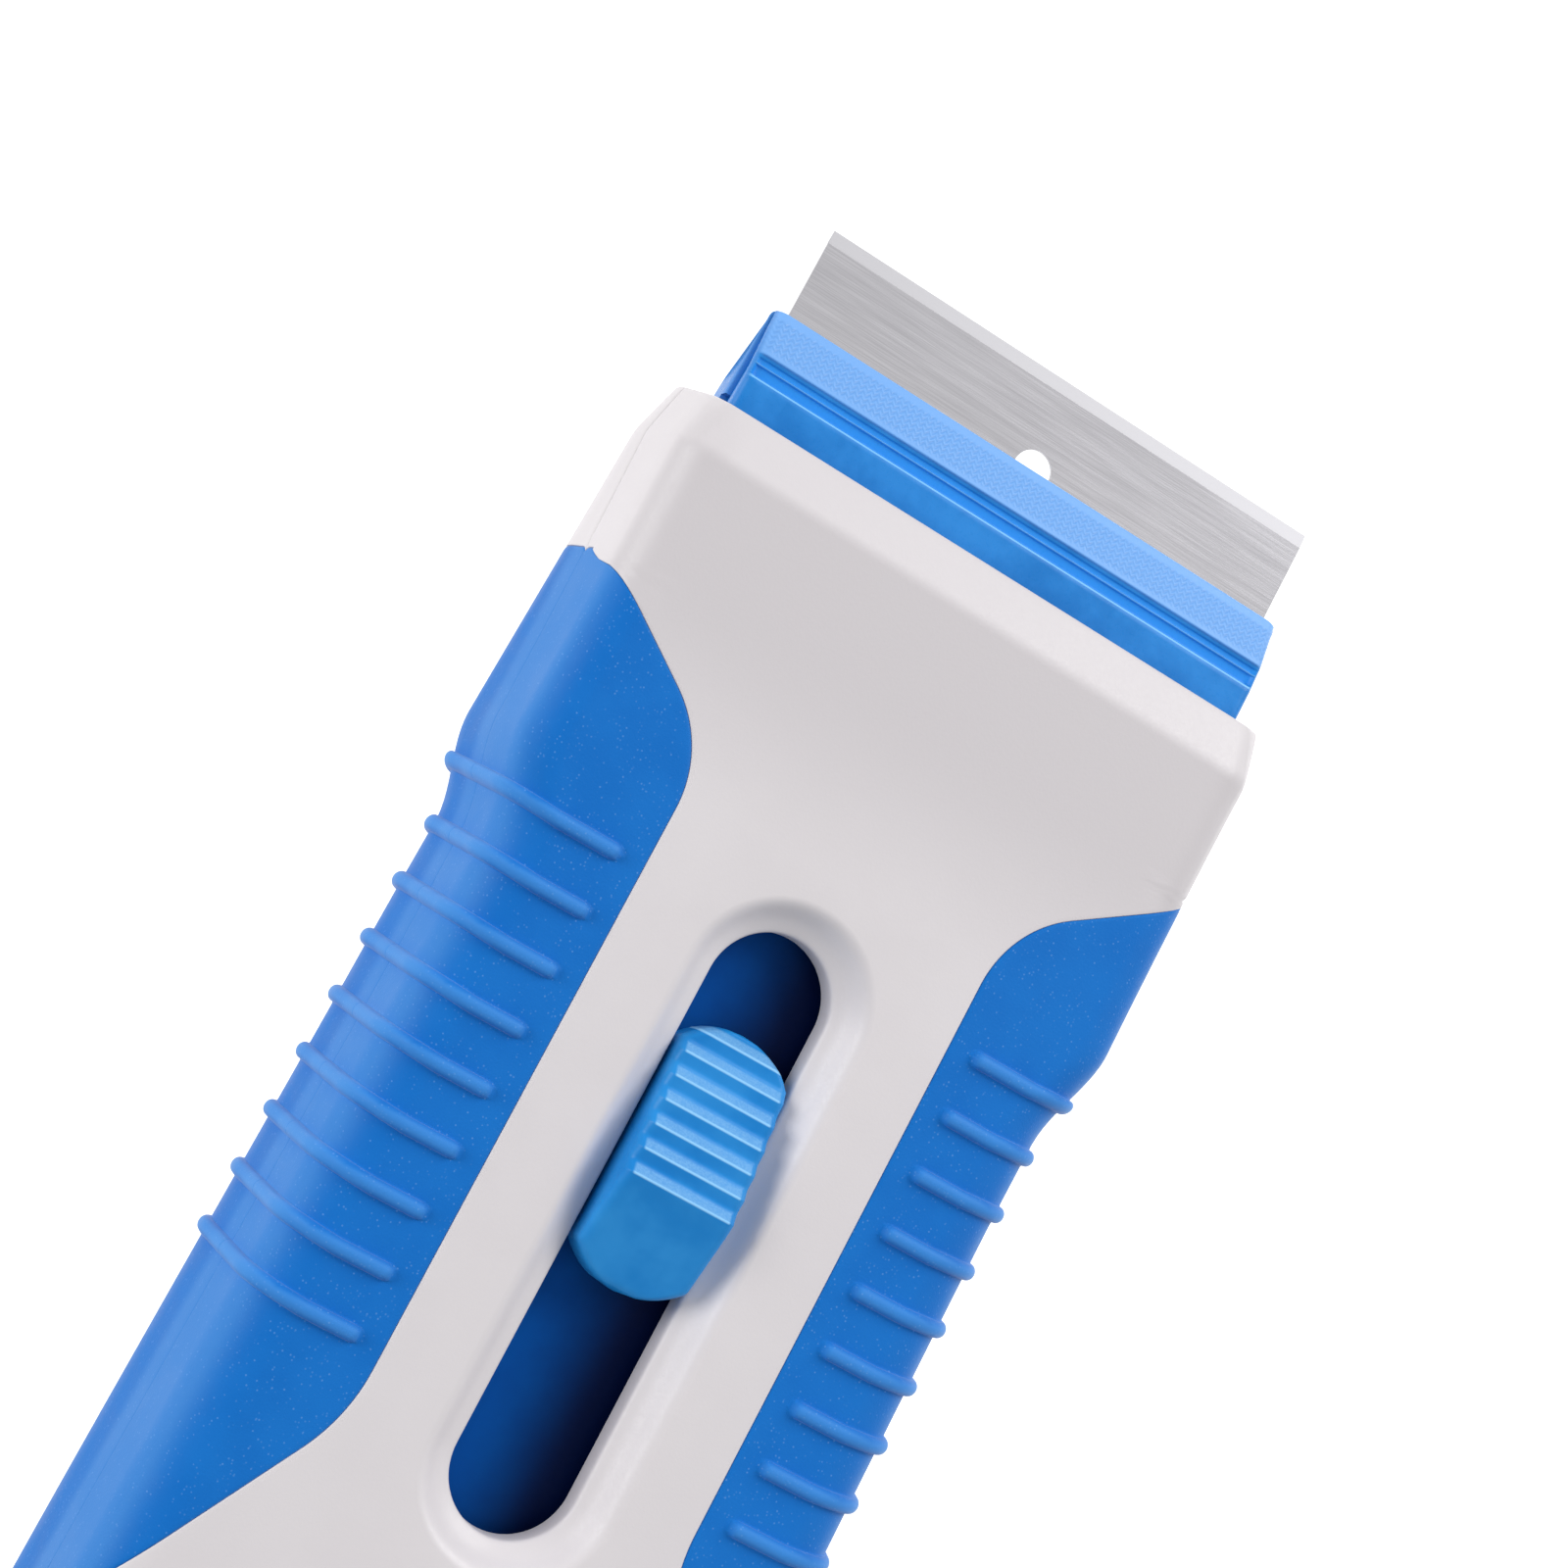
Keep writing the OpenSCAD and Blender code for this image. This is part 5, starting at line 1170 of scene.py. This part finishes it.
def buttonLine():
    # the button's top from front to rear, with its steps
    b = button
    bends = [(b["front"], b["frontTop"] - 0.25, 0.0), (b["front"] - 0.2, b["frontTop"] - 0.05, 0.1)]
    for k in range(b["steps"]):
        y = b["front"] - b["start"] - k * b["pitch"]
        bends.append((y, buttonRise(k / b["steps"]), b["rootSoft"]))
        crest = buttonRise((k + b["lean"]) / b["steps"]) + b["depth"]
        bends.append((y - b["lean"] * b["pitch"], crest, b["crestSoft"]))
    bends.append((b["front"] - b["start"] - b["steps"] * b["pitch"], buttonRise(1.0), b["endSoft"]))
    bends.append((b["rear"] + 0.4, b["rearTop"] + 0.15, 0.4))
    bends.append((b["rear"], b["rearTop"] - 0.3, 0.0))
    soft, line = softLine(bends), []
    for (y0, z0), (y1, z1) in zip(soft, soft[1:]):
        count = max(1, int((y0 - y1) / b["finest"]))
        line += [(y0 + (y1 - y0) * k / count, z0 + (z1 - z0) * k / count) for k in range(count)]
    return line + [bends[-1][:2]]


def makeButton():
    b = button
    skin = newSkin()
    rows = []
    insets = [0.0, 0.02, 0.06, 0.13, 0.22, 0.34, 0.48, 0.64, 0.82]
    for y, z in buttonLine():
        half = buttonHalf(y)
        t = (b["front"] - b["start"] - y) / (b["steps"] * b["pitch"])
        plain = buttonRise(min(1.0, max(0.0, t))) if t < 1 else z
        xs = [-half + min(inset, half) for inset in insets]
        xs += [max(0.0, half - insets[-1]) * u for u in steps(-1, 1, 10)[1:-1]]
        xs += [half - min(inset, half) for inset in reversed(insets)]
        row = [(-half, y, b["low"])]
        for x in xs:
            inset = half - abs(x)
            share = b["edgeShare"] + (1 - b["edgeShare"]) * ease(0.0, b["edgeRun"], inset)
            level = plain + (z - plain) * share if t > 0 else z
            row.append((x, y, level - roundDrop(inset, b["edgeRound"])))
        row.append((half, y, b["low"]))
        rows.append(row)
    addRows(skin, rows, closed=True)
    ring = circle((0.0, b["middle"]), b["stemHalf"], 40)
    stem = [[(x, y, z) for x, y in ring] for z in (b["low"] + b["stemIn"], b["stemLow"])]
    stem = addRows(skin, stem, closed=True)
    addCap(skin, stem[1], (0.0, b["middle"], b["stemLow"]))
    return skin


makePiece("thumbButton", makeButton(), "button", buttonPlastic, ["thumb_button"], sharp=50)


# solids that stay get their finish

kept = {
    "razor_blade": bladeSteel, "carriage": carriagePlastic,
    "shell_screws": screwSteel, "jaw_rivets": screwSteel, "jaw_hinge_pin": screwSteel,
    "detent_rivet": screwSteel, "jaw_spring": springSteel, "button_spring": springSteel,
    "button_clip": springSteel, "detent_spring": springSteel,
}
for nodeName, finish in kept.items():
    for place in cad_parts[nodeName].material_slots:
        place.material = finish
print("finishes on", len(kept), "solids")


# floor, light and camera, in metres

stage = {
    "floorColour": (0.86, 0.86, 0.86), "floorLift": 0.46, "floorHalf": 3.0, "floorLow": -0.08, "world": 0.46,
    "white": (1.0, 1.0, 1.0, 1.0), "aimY": 0.02,
}
lamps = {
    "keySoft": {"at": (0.40, 0.50, 0.42), "size": 0.55, "power": 3.6},
    "fillSoft": {"at": (-0.62, 0.05, 0.24), "size": 0.42, "power": 2.3},
}


def seenRays(tree):
    # 1 where the camera sees this, straight or in a mirror or through glass
    light = tree.nodes.new("ShaderNodeLightPath")
    seen = mathNode(tree, "MAXIMUM", light.outputs["Is Camera Ray"], light.outputs["Is Glossy Ray"])
    return mathNode(tree, "MAXIMUM", seen, light.outputs["Is Transmission Ray"])


def makeFloor():
    finish = bpy.data.materials.new("floorWhite")
    finish.use_nodes = True
    tree = finish.node_tree
    tree.nodes.clear()
    matt = addNode(tree, "ShaderNodeBsdfDiffuse", Color=(*stage["floorColour"], 1.0))
    lift = addNode(tree, "ShaderNodeEmission", Color=stage["white"])
    tree.links.new(times(tree, seenRays(tree), stage["floorLift"]), lift.inputs["Strength"])
    both = tree.nodes.new("ShaderNodeAddShader")
    tree.links.new(matt.outputs[0], both.inputs[0])
    tree.links.new(lift.outputs[0], both.inputs[1])
    # seen from below, the floor is clear, so that the part's back shows
    under = tree.nodes.new("ShaderNodeNewGeometry").outputs["Backfacing"]
    oneSided = tree.nodes.new("ShaderNodeMixShader")
    tree.links.new(under, oneSided.inputs[0])
    tree.links.new(both.outputs[0], oneSided.inputs[1])
    tree.links.new(tree.nodes.new("ShaderNodeBsdfTransparent").outputs[0], oneSided.inputs[2])
    out = tree.nodes.new("ShaderNodeOutputMaterial")
    tree.links.new(oneSided.outputs[0], out.inputs["Surface"])
    half = stage["floorHalf"]
    mesh = bpy.data.meshes.new("floor")
    ring = [(-half, -half), (half, -half), (half, half), (-half, half)]
    mesh.from_pydata([(x, y, stage["floorLow"]) for x, y in ring], [], [(0, 1, 2, 3)])
    mesh.materials.append(finish)
    floor = bpy.data.objects.new("floor", mesh)
    scene.collection.objects.link(floor)


def makeWorld():
    world = bpy.data.worlds.new("studio")
    scene.world = world
    world.use_nodes = True
    tree = world.node_tree
    tree.nodes.clear()
    back = addNode(tree, "ShaderNodeBackground", Color=stage["white"])
    # what is seen is white, and what lights the part is weaker
    more = times(tree, seenRays(tree), 1.0 - stage["world"])
    strength = mathNode(tree, "ADD", more, stage["world"])
    tree.links.new(strength, back.inputs["Strength"])
    out = tree.nodes.new("ShaderNodeOutputWorld")
    tree.links.new(back.outputs[0], out.inputs["Surface"])


def makeLamp(name, lamp):
    light = bpy.data.lights.new(name, "AREA")
    light.shape = "DISK"
    light.size = lamp["size"]
    light.energy = lamp["power"]
    holder = bpy.data.objects.new(name, light)
    holder.location = lamp["at"]
    aim = -(holder.location.copy())
    aim.y += stage["aimY"]
    holder.rotation_mode = "QUATERNION"
    holder.rotation_quaternion = aim.to_track_quat("-Z", "Y")
    scene.collection.objects.link(holder)


makeFloor()
makeWorld()
for lampName, lamp in lamps.items():
    makeLamp(lampName, lamp)

view = {
    "at": (-0.061718, 0.006340, 0.211328), "lens": 74.25, "sensor": 36.0, "near": 0.01,
    "right": (0.8289, 0.4664, 0.3088), "down": (0.4891, -0.8722, 0.0042), "ahead": (0.2713, 0.1476, -0.9511),
}
eye = bpy.data.cameras.new("eye")
eye.lens = view["lens"]
eye.sensor_width = view["sensor"]
eye.clip_start = view["near"]
camera = bpy.data.objects.new("eye", eye)
turn = Matrix([view["right"], [-v for v in view["down"]], [-v for v in view["ahead"]]]).transposed()
camera.matrix_world = Matrix.Translation(view["at"]) @ turn.to_4x4()
scene.collection.objects.link(camera)
scene.camera = camera
print("stage, lamps and camera made")
